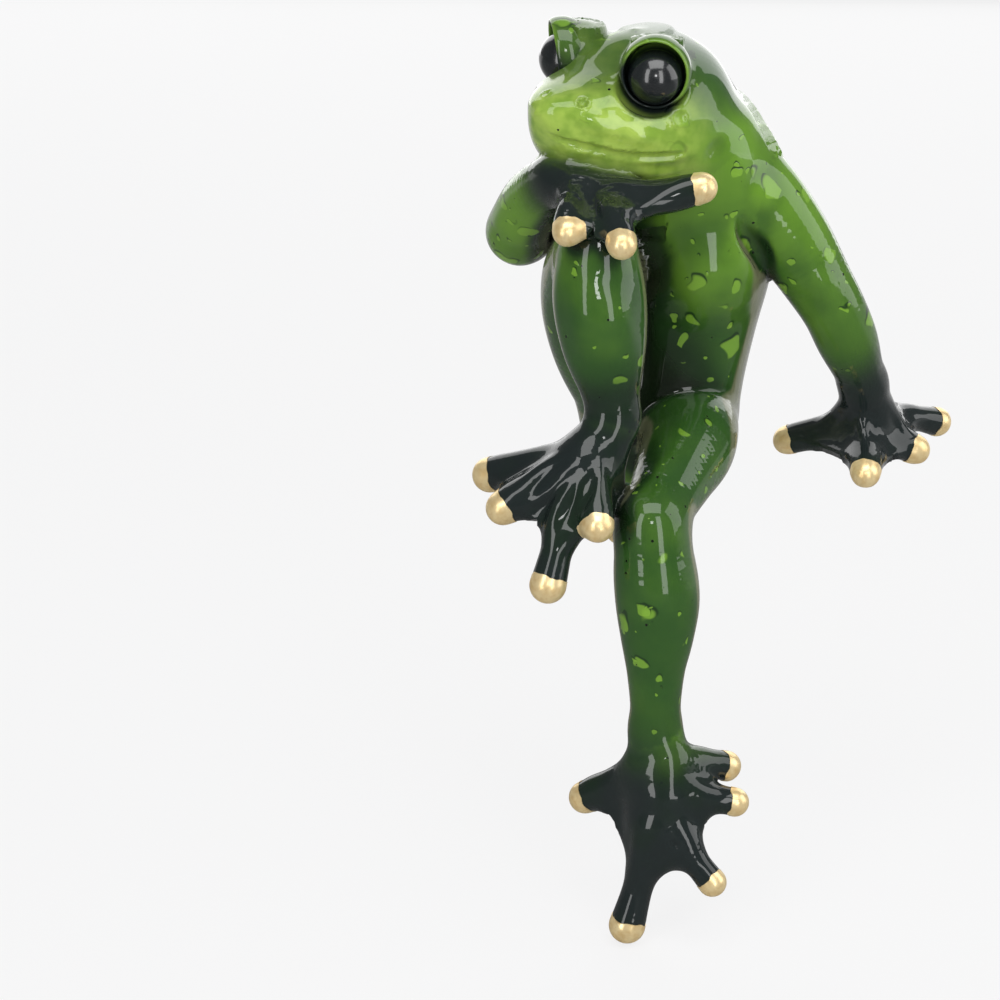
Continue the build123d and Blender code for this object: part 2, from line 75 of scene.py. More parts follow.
# Skeleton, in millimetres: x to the frog's left, y to its back, z up from the shelf
LEFT_KNEE = (17.0, -42.0, 4.0)
LEFT_ANKLE = (20.7, -46.0, -50.0)
RIGHT_KNEE = (0.0, -37.0, 72.7)
RIGHT_ANKLE = (5.1, -38.0, 29.2)
LEFT_HIP = (10.5, 5.0, 16.2)
RIGHT_HIP = (-9.8, 7.0, 16.2)
LEFT_SHOULDER = (24.5, 8.0, 78.2)
RIGHT_SHOULDER = (-19.6, 10.0, 83.4)
LEFT_WRIST = (49.5, 29.0, 24.0)
RIGHT_WRIST = (-13.0, -29.0, 86.6)
NECK = (0.0, 2.0, 92.0)
NECK_SLOPE = math.radians(36.0)
HEAD_MIDDLE = (-5.6, -11.3, 101.0)
HEAD_TURN = math.radians(22.6)
EYE_OUTLOOK = math.radians(38.0)
LAP = (5.0, -17.0, 26.0)
LEFT_SHOULDER_TOP = (20.0, 8.0, 88.0)
RIGHT_SHOULDER_TOP = (-18.0, 12.0, 90.0)
SHELF_FRONT = -31.0
SEAT_LEVEL = 1.2
WEB_THICKNESS = 3.2
WEB_BLEND = 5.0

# Eyes: how far ahead of the head's middle, beside it and above it, and the ball's radius
EYE_AHEAD, EYE_ASIDE, EYE_RISE = 2.8, 15.4, 10.4
EYE_RADIUS = 6.8

# Eyelids: a profile of distance ahead of the eye's middle and radius, swept round the way that the eye looks
LID_PROFILE = (
    (-5.8, 7.0), (-3.8, 8.4), (-1.4, 9.3), (0.8, 9.35), (2.4, 8.95), (3.1, 8.4), (2.7, 8.0), (1.4, 8.05),
    (-0.5, 7.9), (-2.2, 7.3), (-3.8, 6.2), (-5.2, 5.8),
)
LID_EDGE = 5
LID_STEPS = 4
LID_SIDES = 96
LID_LEAN = 0.12
LID_RISE = 1.2
LID_NARROWED = 0.95
HOOD_RADIUS, HOOD_BACK = 8.0, 2.6
SOCKET_RADIUS, SOCKET_AHEAD = 9.9, 5.0

FORWARD = np.array((-math.sin(HEAD_TURN), -math.cos(HEAD_TURN), 0.0))
LEFTWARD = np.array((math.cos(HEAD_TURN), -math.sin(HEAD_TURN), 0.0))
UPWARD = np.array((0.0, 0.0, 1.0))
NECK_WAY = FORWARD * math.sin(NECK_SLOPE) + UPWARD * math.cos(NECK_SLOPE)

# Camera: turn and rise about its pivot, distance from it, and the shift of the view aside and up
CAMERA_TURN = math.radians(20.0)
CAMERA_RISE = math.radians(20.0)
CAMERA_DISTANCE = 721.0
CAMERA_PIVOT = np.array((8.0, -12.0, 8.0))
CAMERA_ASIDE = -41.3
CAMERA_BELOW = -9.7
LENS = 100.0
SENSOR = 36.0
PICTURE = 1000.0
RAY_CLEARANCE = 140.0
RAY_STEPS = 90
FLOOR_SIZE = 14.0

# Soft boxes: turn from the camera and rise in degrees, distance and size in metres, and radiance
SOFT_BOXES = (
    ("left_strip", -36.0, 18.0, 0.95, (0.24, 0.95), 3.6),
    ("right_strip", 24.0, 14.0, 0.95, (0.24, 0.95), 3.6),
    ("top_box", 5.0, 68.0, 0.85, (0.75, 0.5), 3.2),
    ("side_box", 85.0, 25.0, 1.0, (0.7, 0.9), 1.9),
    ("back_panel", 180.0, 25.0, 1.1, (1.8, 1.2), 1.5),
    ("catchlight", 2.0, 24.0, 0.9, (0.12, 0.12), 11.0),
)


def camera_frame():
    """Where the camera stands, and the ways ahead, right and up for it."""
    turn, rise = CAMERA_TURN, CAMERA_RISE
    back = np.array((math.sin(turn) * math.cos(rise), -math.cos(turn) * math.cos(rise), math.sin(rise)))
    aside = np.array((math.cos(turn), math.sin(turn), 0.0))
    place = CAMERA_PIVOT + CAMERA_DISTANCE * back
    target = CAMERA_PIVOT + CAMERA_ASIDE * aside + CAMERA_BELOW * np.cross(back, aside)
    ahead = (target - place) / np.linalg.norm(target - place)
    right = np.cross(ahead, UPWARD)
    right /= np.linalg.norm(right)
    return place, ahead, right, np.cross(right, ahead)


# Fields: every form gives the distance to its skin, and the slope of that distance, at many places at once


def in_batches(work, p):
    """Works a field out over many places, a few thousand at a time on several threads."""
    starts = range(0, len(p), BATCH)
    with ThreadPoolExecutor(THREADS) as pool:
        made = list(pool.map(lambda start: work(p[start : start + BATCH]), starts))
    return [np.concatenate(column) for column in zip(*made)]


class Form:
    """One rounded form, with the box that it fills and how softly it runs into its neighbours."""

    def __init__(self, field, low, high, blend):
        self.field = field
        self.low = np.asarray(low) - REACH
        self.high = np.asarray(high) + REACH
        self.blend = blend


def spline(points, steps):
    """A smooth run through rows of numbers, with so many steps between each row and the next."""
    points = np.asarray(points, float)
    ends = np.vstack((2 * points[0] - points[1], points, 2 * points[-1] - points[-2]))
    t = np.linspace(0, 1, steps, endpoint=False)[:, None]
    runs = []
    for p0, p1, p2, p3 in zip(ends, ends[1:], ends[2:], ends[3:]):
        bend = (2 * p0 - 5 * p1 + 4 * p2 - p3) * t**2 + (3 * p1 - p0 - 3 * p2 + p3) * t**3
        runs.append(0.5 * (2 * p1 + (p2 - p0) * t + bend))
    return np.vstack(runs + [points[-1:]])


def limb(points, blend=3.0, flat=None, steps=8):
    """A round limb along rows of x, y, z and radius; flat is a way and how many times it is flattened so."""
    line = spline(points, steps)
    squeeze = np.eye(3)
    if flat:
        way = np.asarray(flat[0], float) / np.linalg.norm(flat[0])
        squeeze = squeeze + (flat[1] - 1) * np.outer(way, way)
    centres = line[:, :3] @ squeeze
    radii = line[:, 3]
    starts, runs = centres[:-1], centres[1:] - centres[:-1]
    lengths = np.linalg.norm(runs, axis=1)
    swells = radii[1:] - radii[:-1]
    weights = (centres * centres).sum(1)

    def field(p):
        q = p @ squeeze
        spans = (q * q).sum(1)[:, None] - 2 * q @ centres.T + weights
        nearest = (np.sqrt(np.maximum(spans, 0)) - radii).argmin(1)
        best = np.full(len(q), FAR)
        slope = np.zeros_like(q)
        for shift in (-1, 0):
            i = np.clip(nearest + shift, 0, len(starts) - 1)
            free = ((q - starts[i]) * runs[i]).sum(1) / lengths[i] ** 2
            t = np.clip(free, 0, 1)
            away = q - starts[i] - t[:, None] * runs[i]
            length = np.linalg.norm(away, axis=1) + 1e-9
            gap = length - radii[i] - t * swells[i]
            tilt = np.where((free > 0) & (free < 1), swells[i] / lengths[i] ** 2, 0)
            way = away / length[:, None] - tilt[:, None] * runs[i]
            closer = gap < best
            best[closer] = gap[closer]
            slope[closer] = way[closer]
        slope = slope @ squeeze
        steep = np.linalg.norm(slope, axis=1)
        return best / steep, slope / steep[:, None]

    made = Form(field, (line[:, :3] - line[:, 3:]).min(0), (line[:, :3] + line[:, 3:]).max(0), blend)
    made.balls = [(row[:3], row[3], flat) for row in line[:: max(1, steps // 4)]]
    return made


def digit(root, tip, radii, blend=3.0, sag=0.0):
    """A finger or toe: radii at its root, waist and end, with its middle raised by sag."""
    root, tip = np.asarray(root, float), np.asarray(tip, float)
    places = [root, root * 0.45 + tip * 0.55 + (0, 0, sag), tip]
    return limb([(*place, radius) for place, radius in zip(places, radii)], blend, steps=6)


def sheet_form(corners, thickness, blend=3.0):
    """A web of skin over three corners."""
    a, b, c = (np.asarray(corner, float) for corner in corners)
    normal = np.cross(b - a, c - a)
    normal /= np.linalg.norm(normal)

    def field(p):
        best = np.full(len(p), FAR)
        slope = np.zeros_like(p)
        inside = np.ones(len(p), bool)
        for start, end in ((a, b), (b, c), (c, a)):
            run = end - start
            inside &= ((p - start) @ np.cross(normal, run)) > 0
            t = np.clip((p - start) @ run / (run @ run), 0, 1)
            away = p - start - t[:, None] * run
            length = np.linalg.norm(away, axis=1) + 1e-9
            closer = length < best
            best[closer] = length[closer]
            slope[closer] = away[closer] / length[closer, None]
        height = (p - a) @ normal
        best[inside] = np.abs(height[inside])
        slope[inside] = np.sign(height[inside])[:, None] * normal
        return best - thickness / 2, slope

    corners = np.array((a, b, c))
    made = Form(field, corners.min(0) - thickness, corners.max(0) + thickness, blend)
    made.prism = np.vstack((corners - normal * thickness * 0.4, corners + normal * thickness * 0.4))
    return made


def web(first, second, first_share, second_share):
    """The web between two digits, given as root and tip, up to shares of their lengths."""
    roots = [np.asarray(digit_ends[0], float) for digit_ends in (first, second)]
    tips = [np.asarray(digit_ends[1], float) for digit_ends in (first, second)]
    edge = [root + (tip - root) * share for root, tip, share in zip(roots, tips, (first_share, second_share))]
    return sheet_form(((roots[0] + roots[1]) / 2, *edge), WEB_THICKNESS, WEB_BLEND)


def loft(origin, along, across, up, sections, squareness, blend):
    """A body along one way; each row: distance, shift across, rise, half width, height above, depth below."""
    origin = np.asarray(origin, float)
    rows = spline(sections, 8)
    first, last = rows[0, 0], rows[-1, 0]
    steps = np.linspace(first, last, 400)
    shape = np.column_stack([np.interp(steps, rows[:, 0], rows[:, i]) for i in range(1, 6)])
    shape = np.hstack((shape, np.gradient(shape, steps, axis=0)))
    tip = 0.8
    widest, tallest = rows[:, 3].max(), (rows[:, 2] + rows[:, 4]).max()
    deepest = (rows[:, 5] - rows[:, 2]).max()

    def field(p):
        q = p - origin
        distance = q @ along
        place = np.clip((distance - first) / (last - first), 0, 1) * (len(steps) - 1.001)
        i = place.astype(int)
        share = (place - i)[:, None]
        here = shape[i] * (1 - share) + shape[i + 1] * share
        aside, rise, width, above, below, d_aside, d_rise, d_width, d_above, d_below = here.T
        x = q @ across - aside
        z = q @ up - rise
        over = np.maximum(distance - last, 0) - np.maximum(first - distance, 0)
        top = z > 0
        power = np.where(top, *squareness)
        height, d_height = np.where(top, above, below), np.where(top, d_above, d_below)
        a, b, c = np.abs(x) / width, np.abs(z) / height, np.abs(over) / tip
        value = (a**power + b**power + c**power) ** (1 / power) + 1e-6
        wa, wb, wc = ((part / value) ** (power - 1) for part in (a, b, c))
        by_x = wa * np.sign(x) / width
        by_z = wb * np.sign(z) / height
        by_s = wc * np.sign(over) / tip - by_x * d_aside - by_z * d_rise
        by_s = by_s - wa * a * d_width / width - wb * b * d_height / height
        slope = by_x[:, None] * across + by_z[:, None] * up + by_s[:, None] * along
        steep = np.linalg.norm(slope, axis=1) + 1e-6
        slope = slope / steep[:, None]
        gap = (value - 1) / steep
        outside = np.column_stack((np.abs(x) - widest, z - tallest, -z - deepest, np.abs(over)))
        outside = np.maximum(outside, 0)
        least = np.linalg.norm(outside, axis=1)
        far = least > np.maximum(gap, 1.0)
        toward = outside[:, :1] * np.sign(x)[:, None] * across
        toward = toward + (outside[:, 1] - outside[:, 2])[:, None] * up
        toward = toward + (outside[:, 3] * np.sign(over))[:, None] * along
        gap = np.where(far, least, gap)
        slope[far] = toward[far] / least[far, None]
        return gap, slope

    made = Form(field, (0, 0, 0), (0, 0, 0), blend)
    corners = []
    made.slabs = []
    for row in rows[::4]:
        distance, aside, rise, width, above, below = row
        middle = origin + along * distance + across * aside + up * (rise + (above - below) / 2)
        tall = (above + below) / 2
        made.slabs.append((middle, (across, along, up), (width, 4.0, tall)))
        spread = np.abs(across) * width + np.abs(up) * tall + np.abs(along) * 4.0
        corners += [middle - spread, middle + spread]
    made.low = np.min(corners, axis=0) - REACH
    made.high = np.max(corners, axis=0) + REACH
    return made


def egg(centre, radii, blend=3.0):
    """An ellipsoid with its radii along x, y and z."""
    centre = np.asarray(centre, float)
    radii = np.asarray(radii, float)

    def field(p):
        q = p - centre
        k0 = np.linalg.norm(q / radii, axis=1) + 1e-9
        slope = q / radii**2
        k1 = np.linalg.norm(slope, axis=1) + 1e-9
        return k0 * (k0 - 1) / k1, slope / k1[:, None]

    made = Form(field, centre - radii.max(), centre + radii.max(), blend)
    made.slabs = [(centre, np.eye(3), radii)]
    return made


def soft_union(one, other, blend):
    """Two fields run into each other, with a fillet about as wide as blend."""
    (d1, g1), (d2, g2) = one, other
    share = np.clip(0.5 + 0.5 * (d2 - d1) / blend, 0, 1)
    return d2 + (d1 - d2) * share - blend * share * (1 - share), g2 + (g1 - g2) * share[:, None]


def soft_cut(one, other, blend):
    """A field with another one cut out of it."""
    d, g = soft_union((-one[0], -one[1]), other, blend)
    return -d, -g


def gather(forms, p):
    """The field of several forms together."""
    d = np.full(len(p), FAR)
    g = np.zeros_like(p)
    for form in forms:
        near = ((p > form.low) & (p < form.high)).all(1)
        if near.any():
            d[near], g[near] = soft_union((d[near], g[near]), form.field(p[near]), form.blend)
    return d, g


def on_head(ahead, left, rise):
    """A place on the head, in millimetres ahead of its middle, to its left and above it."""
    return np.asarray(HEAD_MIDDLE) + FORWARD * ahead + LEFTWARD * left + UPWARD * rise


def eye_place(side):
    """The centre of an eyeball and the way that it looks; side is 1 for the left and -1 for the right."""
    gaze = FORWARD * math.cos(EYE_OUTLOOK) + LEFTWARD * (side * math.sin(EYE_OUTLOOK))
    return on_head(EYE_AHEAD, side * EYE_ASIDE, EYE_RISE), gaze


# Fingers and toes: root and tip of each, the radii at root, waist and end, and how far the middle is raised
LEFT_TOES = (
    ((18.5, -47.5, -61.0), (1.7, -46.0, -73.1), (4.8, 3.7, 4.1), 0.5),
    ((22.8, -51.0, -76.0), (18.5, -58.0, -100.8), (5.2, 3.9, 4.6), 0.0),
    ((25.0, -51.0, -74.0), (39.1, -52.0, -86.9), (5.0, 3.5, 3.6), 0.5),
    ((25.5, -49.0, -66.0), (41.1, -42.0, -68.4), (5.0, 3.4, 3.6), 0.5),
    ((24.5, -47.0, -57.5), (36.0, -34.5, -62.5), (5.0, 3.6, 3.8), 0.5),
)
RIGHT_TOES = (
    ((0.0, -42.5, 20.5), (-26.9, -42.0, 10.6), (4.6, 3.6, 4.4), 0.6),
    ((-1.0, -45.0, 18.5), (-18.1, -54.0, 7.1), (4.6, 3.6, 4.2), 1.0),
    ((-0.5, -46.0, 17.0), (-2.5, -62.0, -8.1), (4.8, 3.7, 4.5), 1.5),
    ((2.5, -45.0, 18.0), (9.0, -58.0, 7.6), (4.2, 3.0, 3.7), 1.5),
    ((4.0, -41.0, 20.0), (7.4, -38.6, -0.5), (4.0, 3.0, 3.4), 0.0),
)
LEFT_FINGERS = (
    ((47.0, 36.0, 10.5), (28.4, 31.9, 3.7), (4.4, 3.3, 3.7), 0.6),
    ((49.0, 33.5, 9.5), (55.4, 15.0, 3.6), (4.4, 3.1, 3.5), 0.8),
    ((50.0, 37.0, 9.0), (62.4, 38.4, 3.6), (4.6, 3.2, 3.6), 0.6),
    ((50.5, 40.0, 10.5), (62.7, 57.6, 5.6), (4.6, 3.4, 3.9), 0.8),
)
RIGHT_FINGERS = (
    ((-8.5, -32.0, 85.6), (-3.1, -50.0, 78.8), (4.0, 2.8, 3.4), 1.4),
    ((1.5, -33.0, 83.6), (11.0, -50.0, 77.2), (4.2, 3.0, 3.5), 1.4),
    ((2.5, -31.0, 82.8), (23.1, -28.0, 87.2), (4.6, 3.9, 3.7), -1.0),
)


def digits(rows):
    """The forms of a hand's fingers or a foot's toes."""
    return [digit(root, tip, radii, 5.0, sag) for root, tip, radii, sag in rows]


TORSO = [
    loft(
        (0, 0, 0), UPWARD, np.array((1.0, 0, 0)), np.array((0, 1.0, 0)),
        (
            (-6, 0, 8, 16, 18.4, 17), (1, 0, 8, 18.2, 19.2, 19.6), (12, 0, 8, 20.4, 20.4, 21.4),
            (26, 0.2, 8, 22, 21.6, 20.6), (40, 0.4, 8, 24.6, 23, 19), (55, 0.6, 8, 28, 23.6, 21),
            (70, 0.6, 6, 29.6, 24.4, 22),
            (84, 0.6, 3, 28.9, 24.6, 22), (96, 0.5, 0, 26, 23, 20), (105, -1, -3, 21.5, 19, 17),
            (112, -2, -5, 15.5, 14, 13), (116.5, -2.6, -6.2, 9.5, 8.5, 8), (118.6, -3, -7, 4.5, 4, 4),
            (119.4, -3, -7, 1, 1, 1),
        ),
        (2.1, 2.1), 4.0,
    ),
]
HEAD = [
    loft(
        HEAD_MIDDLE, FORWARD, LEFTWARD, UPWARD,
        (
            (-31, 0, 0, 2, 2, 2), (-26, 0, 0.5, 13, 11, 9), (-18, 0, 0.7, 21, 15.6, 14),
            (-8, 0, -0.4, 25.0, 16.8, 17.5), (2, 0, -1.2, 24.2, 15.4, 16.0), (10, 0, -0.8, 19.6, 12.2, 15.2),
            (16, 0, 0.2, 14.6, 9.2, 13.6), (20.5, 0, 1.4, 10.8, 6.8, 11.0), (24, 0, 2.4, 7.4, 4.6, 7.6),
            (26.4, 0, 2.9, 4.2, 2.8, 4.2), (27.8, 0, 3.1, 1, 0.8, 1),
        ),
        (2.2, 3.3), 5.0,
    ),
]
for side in (1, -1):
    eye, gaze = eye_place(side)
    HEAD[0].slabs.append((eye - gaze * 3.6 + UPWARD * 1.2, np.eye(3), (7.4, 7.4, 7.4)))

LEFT_THIGH = [
    limb(
        (
            (8, 7, 16, 13.5), (12.5, -4, 15.5, 13.2), (15.1, -12, 13.7, 12.2), (16, -22, 11, 10.6),
            (16.6, -32, 7.8, 9.2), (*LEFT_KNEE, 8.3),
        ),
    ),
]
LEFT_SHIN = [
    limb(
        (
            (*LEFT_KNEE, 8.3), (18.4, -43, -6, 10.2), (19.6, -43.6, -15, 10.6), (20.0, -44.3, -24, 9.3),
            (20.1, -45, -33, 7.5), (20.4, -45.6, -42, 6.5), (*LEFT_ANKLE, 6.4),
        ),
    ),
]
LEFT_FOOT = [
    limb(
        (
            (*LEFT_ANKLE, 6.4), (21.6, -47.2, -57, 7.4), (22.5, -48.5, -63, 8.3), (23.4, -50, -70, 8.0),
            (24.0, -51, -77, 6.2),
        ),
        flat=((0, 1, 0), 1.3),
    ),
    *digits(LEFT_TOES),
    web(LEFT_TOES[0], LEFT_TOES[1], 0.78, 0.32),
    web(LEFT_TOES[1], LEFT_TOES[2], 0.42, 0.5),
    web(LEFT_TOES[2], LEFT_TOES[3], 0.45, 0.6),
    web(LEFT_TOES[3], LEFT_TOES[4], 0.45, 0.5),
]
RIGHT_THIGH = [
    limb(
        (
            (-9.8, 7, 16.2, 9.5), (-10.5, 0, 25, 10.8), (-10.8, -8, 37, 12.2), (-10, -15, 49, 13.0),
            (-7.5, -22, 59, 12.8), (-4, -30, 66, 11.2), (*RIGHT_KNEE, 8.6),
        ),
    ),
]
RIGHT_SHIN = [
    limb(
        (
            (*RIGHT_KNEE, 8.6), (-0.1, -37.0, 66, 10.8), (0.5, -37.0, 58, 11.6), (1.8, -37.2, 48, 10.5),
            (3.6, -37.6, 38, 7.8), (*RIGHT_ANKLE, 6.2),
        ),
    ),
]
RIGHT_FOOT = [
    limb(((*RIGHT_ANKLE, 6.1), (3.5, -40, 24.5, 6.8), (1.4, -42.5, 21, 6.6), (-0.5, -46, 17.2, 5.0))),
    *digits(RIGHT_TOES),
    web(RIGHT_TOES[0], RIGHT_TOES[1], 0.86, 0.8),
    web(RIGHT_TOES[1], RIGHT_TOES[2], 0.84, 0.56),
    web(RIGHT_TOES[2], RIGHT_TOES[3], 0.6, 0.84),
    web(RIGHT_TOES[3], RIGHT_TOES[4], 0.7, 0.7),
]
LEFT_ARM = [
    limb(
        (
            (18, 6, 84, 10), (*LEFT_SHOULDER, 11), (33, 11.5, 66.5, 10.3), (40, 15.5, 54, 8.9),
            (44, 18, 46.2, 8.3), (46.6, 21.5, 38, 8.0), (48.5, 25.5, 30, 6.8), (*LEFT_WRIST, 6.1),
        ),
    ),
]
LEFT_HAND = [
    limb(((*LEFT_WRIST, 6.1), (49.6, 32.0, 18, 6.9), (49.2, 35, 12.5, 8.2), (48.8, 37, 9.0, 7.6))),
    *digits(LEFT_FINGERS),
    web(LEFT_FINGERS[0], LEFT_FINGERS[1], 0.85, 0.8),
    web(LEFT_FINGERS[1], LEFT_FINGERS[2], 0.85, 0.85),
    web(LEFT_FINGERS[2], LEFT_FINGERS[3], 0.6, 0.5),
]
RIGHT_ARM = [
    limb(
        (
            (-14, 10, 86, 10), (*RIGHT_SHOULDER, 10.5), (-27.5, 3, 73.5, 10.0), (-33.8, -5.5, 64.8, 9.0),
            (-30.5, -12.5, 70, 8.2), (-25, -18.5, 77, 7.9), (-18, -25.5, 83.5, 6.8), (*RIGHT_WRIST, 6.2),
        ),
    ),
]
RIGHT_HAND = [
    limb(((*RIGHT_WRIST, 6.2), (-7, -30.5, 85.6, 6.0), (-1, -31.0, 83.6, 5.4), (3, -31, 82.8, 5.0))),
    *digits(RIGHT_FINGERS),
    web(RIGHT_FINGERS[0], RIGHT_FINGERS[1], 0.8, 0.8),
    web(RIGHT_FINGERS[1], RIGHT_FINGERS[2], 0.55, 0.8),
]
CASTINGS = {
    "torso": TORSO, "head": HEAD,
    "left_thigh": LEFT_THIGH, "left_shin": LEFT_SHIN, "left_foot": LEFT_FOOT,
    "right_thigh": RIGHT_THIGH, "right_shin": RIGHT_SHIN, "right_foot": RIGHT_FOOT,
    "left_arm": LEFT_ARM, "left_hand": LEFT_HAND,
    "right_arm": RIGHT_ARM, "right_hand": RIGHT_HAND,
}

# Lines that can be traced over the skin in the picture, in its pixels
MOUTH = ((538, 127), (555, 137.5), (580, 146.7), (600, 151.7), (616.7, 155.8), (641.7, 158), (666.7, 157.5),
         (683, 153.3), (691.7, 148.3))
LOWER_LIP = ((555, 151), (575, 156.7), (600, 160.8), (625, 165.8), (650, 168.3), (675, 166.7), (691.7, 160),
             (703, 151.7))
UPPER_LIP = ((562, 112), (588, 122), (617, 131), (648, 138), (677, 143))
JAW_CREASE = ((700, 165), (716.7, 148.3), (733, 138))
BROW_FOLD = ((622, 76), (612, 79), (603, 84))
ARMPIT = ((740, 208), (745, 232), (759, 255), (773, 270))
INNER_ARMPIT = ((724, 201), (726, 223))
ARMPIT_CORD = ((731, 211), (740, 238), (752, 262))
BELLY_CREST = ((704, 232), (708, 265), (711, 300), (712, 335))
UPPER_ARM_CREST = ((752, 183), (762, 195), (773, 208))
FOREARM_CREST = ((808, 260), (825, 286), (841, 320))
SHIN_CRESTS = (
    ((586, 262), (588, 300), (594, 345), (602, 385)), ((614, 275), (614, 305), (617, 345), (619, 385)),
)
THIGH_CREST = ((676, 443), (664, 465), (650, 490))
LEFT_HAND_TENDONS = (
    ((869, 390), (862, 419), (867, 447)), ((852, 392), (833, 413), (808, 431)),
    ((880, 392), (896, 414), (914, 436)), ((884, 384), (904, 397), (924, 411)),
)
RIGHT_HAND_TENDONS = (((572, 186), (565, 205), (565, 222)), ((598, 189), (607, 210), (618, 232)))
RIGHT_FOOT_TENDONS = (
    ((582, 447), (545, 466), (507, 489)), ((586, 455), (562, 476), (540, 497), (516, 508)),
    ((596, 452), (568, 490), (552, 520), (547, 556)), ((602, 452), (599, 482), (596, 512)),
)
RIGHT_FOOT_FOLDS = (
    ((575, 463), (548, 487)), ((583, 472), (560, 510)), ((596, 470), (585, 500), (578, 522)),
)
LEFT_FOOT_TENDONS = (
    ((650, 790), (640, 850), (631, 905)), ((664, 792), (690, 838), (708, 868)),
    ((668, 775), (700, 790), (724, 799)),
)
FOOT_SLIT = ((671, 838), (674, 845), (678, 853))
NOSTRILS = (((582.5, 103), 1.5), ((546, 93), 1.1))
EAR_DISC = (681, 118)

# What each line does to the skin: its pixels, the tool's radius, how deep or high it goes, and how softly
GROOVE_LINES = (
    (MOUTH, 1.3, 1.25, 0.5), (LOWER_LIP, 2.2, 0.8, 1.0), (JAW_CREASE, 2.2, 0.7, 1.6),
    (BROW_FOLD, 1.6, 0.5, 1.0),
    (ARMPIT, 2.6, 2.0, 1.8), (INNER_ARMPIT, 2.4, 1.3, 1.6), (FOOT_SLIT, 0.9, 0.6, 0.5),
    *((line, 1.8, 0.8, 1.2) for line in RIGHT_FOOT_FOLDS),
)
RIDGE_LINES = (
    (BELLY_CREST, 12.0, 1.8, 4.0), (UPPER_LIP, 2.2, 0.5, 1.8), (ARMPIT_CORD, 2.4, 1.0, 1.8),
    (UPPER_ARM_CREST, 3.5, 0.6, 3.0), (FOREARM_CREST, 3.0, 0.5, 2.5), (THIGH_CREST, 2.6, 0.5, 2.2),
    *((line, 4.5, 0.55, 3.0) for line in SHIN_CRESTS),
    *((line, 1.7, 0.7, 1.6) for line in LEFT_HAND_TENDONS),
    *((line, 1.7, 0.8, 1.6) for line in RIGHT_HAND_TENDONS),
    *((line, 1.9, 0.9, 1.6) for line in RIGHT_FOOT_TENDONS),
    *((line, 2.4, 0.5, 2.2) for line in LEFT_FOOT_TENDONS),
)
RIDGES = []
GROOVES = []


def near_joint(p, joint, wide, tight, reach):
    """A fillet that is wide at a joint and tight where skin only touches skin."""
    away = np.linalg.norm(p - np.asarray(joint), axis=1)
    return tight + (wide - tight) * np.exp(-((away / reach) ** 2))


def lid_black(side, p):
    """How black the lid is at each place: deep round the eyeball, and in a broad ring under it."""
    eye, gaze = eye_place(side)
    q = p - eye
    ahead = q @ gaze
    out = q - ahead[:, None] * gaze
    away = np.linalg.norm(out, axis=1) + 1e-9
    outer = out @ (UPWARD * 0.7 + LEFTWARD * (side * 0.7)) / away
    ring = (1 - smooth_step(away, 8.2, 9.6)) * (1 - smooth_step(outer, -0.35, 0.25)) * (ahead > -4)
    return np.maximum(ring, 1 - smooth_step(np.linalg.norm(q, axis=1), 7.1, 7.9))


def face_pale(p):
    """How much of the pale face's colour lies at each place of the head."""
    q = p - np.asarray(HEAD_MIDDLE)
    ahead, left, rise = q @ FORWARD, q @ LEFTWARD, q[:, 2]
    low_down = 1 - 0.8 * smooth_step(rise - 0.12 * ahead, 2.0, 10.0)
    return smooth_step(ahead - 0.15 * np.abs(left), -16.0, 4.0) * low_down


def sections_field(p):
    """The field of each casting by itself, and of the frog as a whole."""
    parts = {name: gather(forms, p) for name, forms in CASTINGS.items()}
    torso = parts["torso"]
    floor = p[:, 2] - SEAT_LEVEL
    down = np.tile((0.0, 0.0, 1.0), (len(p), 1))
    torso = soft_cut(torso, (floor, down), 2.0)
    for side in (1, -1):
        eye, gaze = eye_place(side)
        hood = egg(eye - gaze * HOOD_BACK + UPWARD * LID_RISE, [HOOD_RADIUS] * 3).field(p)
        parts["head"] = soft_union(parts["head"], hood, 2.0)
    whole = soft_union(torso, parts["head"], 4.0)
    for side in (1, -1):
        eye, gaze = eye_place(side)
        socket = egg(eye + gaze * SOCKET_AHEAD + UPWARD * LID_RISE, [SOCKET_RADIUS] * 3).field(p)
        whole = soft_cut(whole, socket, 1.2)
    leg = soft_union(parts["left_thigh"], parts["left_shin"], 5.0)
    leg = soft_union(leg, parts["left_foot"], 3.0)
    whole = soft_union(whole, leg, near_joint(p, LEFT_HIP, 3.0, 0.9, 16.0))
    leg = soft_union(parts["right_thigh"], parts["right_shin"], near_joint(p, RIGHT_KNEE, 4.0, 1.2, 9.0))
    leg = soft_union(leg, parts["right_foot"], 3.0)
    whole = soft_union(whole, leg, near_joint(p, RIGHT_HIP, 5.0, 0.9, 14.0))
    arm = soft_union(parts["left_arm"], parts["left_hand"], 3.0)
    whole = soft_union(whole, arm, near_joint(p, LEFT_SHOULDER_TOP, 9.0, 1.6, 14.0))
    arm = soft_union(parts["right_arm"], parts["right_hand"], 3.0)
    whole = soft_union(whole, arm, near_joint(p, RIGHT_SHOULDER_TOP, 9.0, 0.9, 14.0))
    return parts, whole


def frog_field(p, marked=True):
    """The frog's whole skin, with the shelf's corner cut away, over many places."""
    return in_batches(lambda batch: skin_field(batch, marked), p)


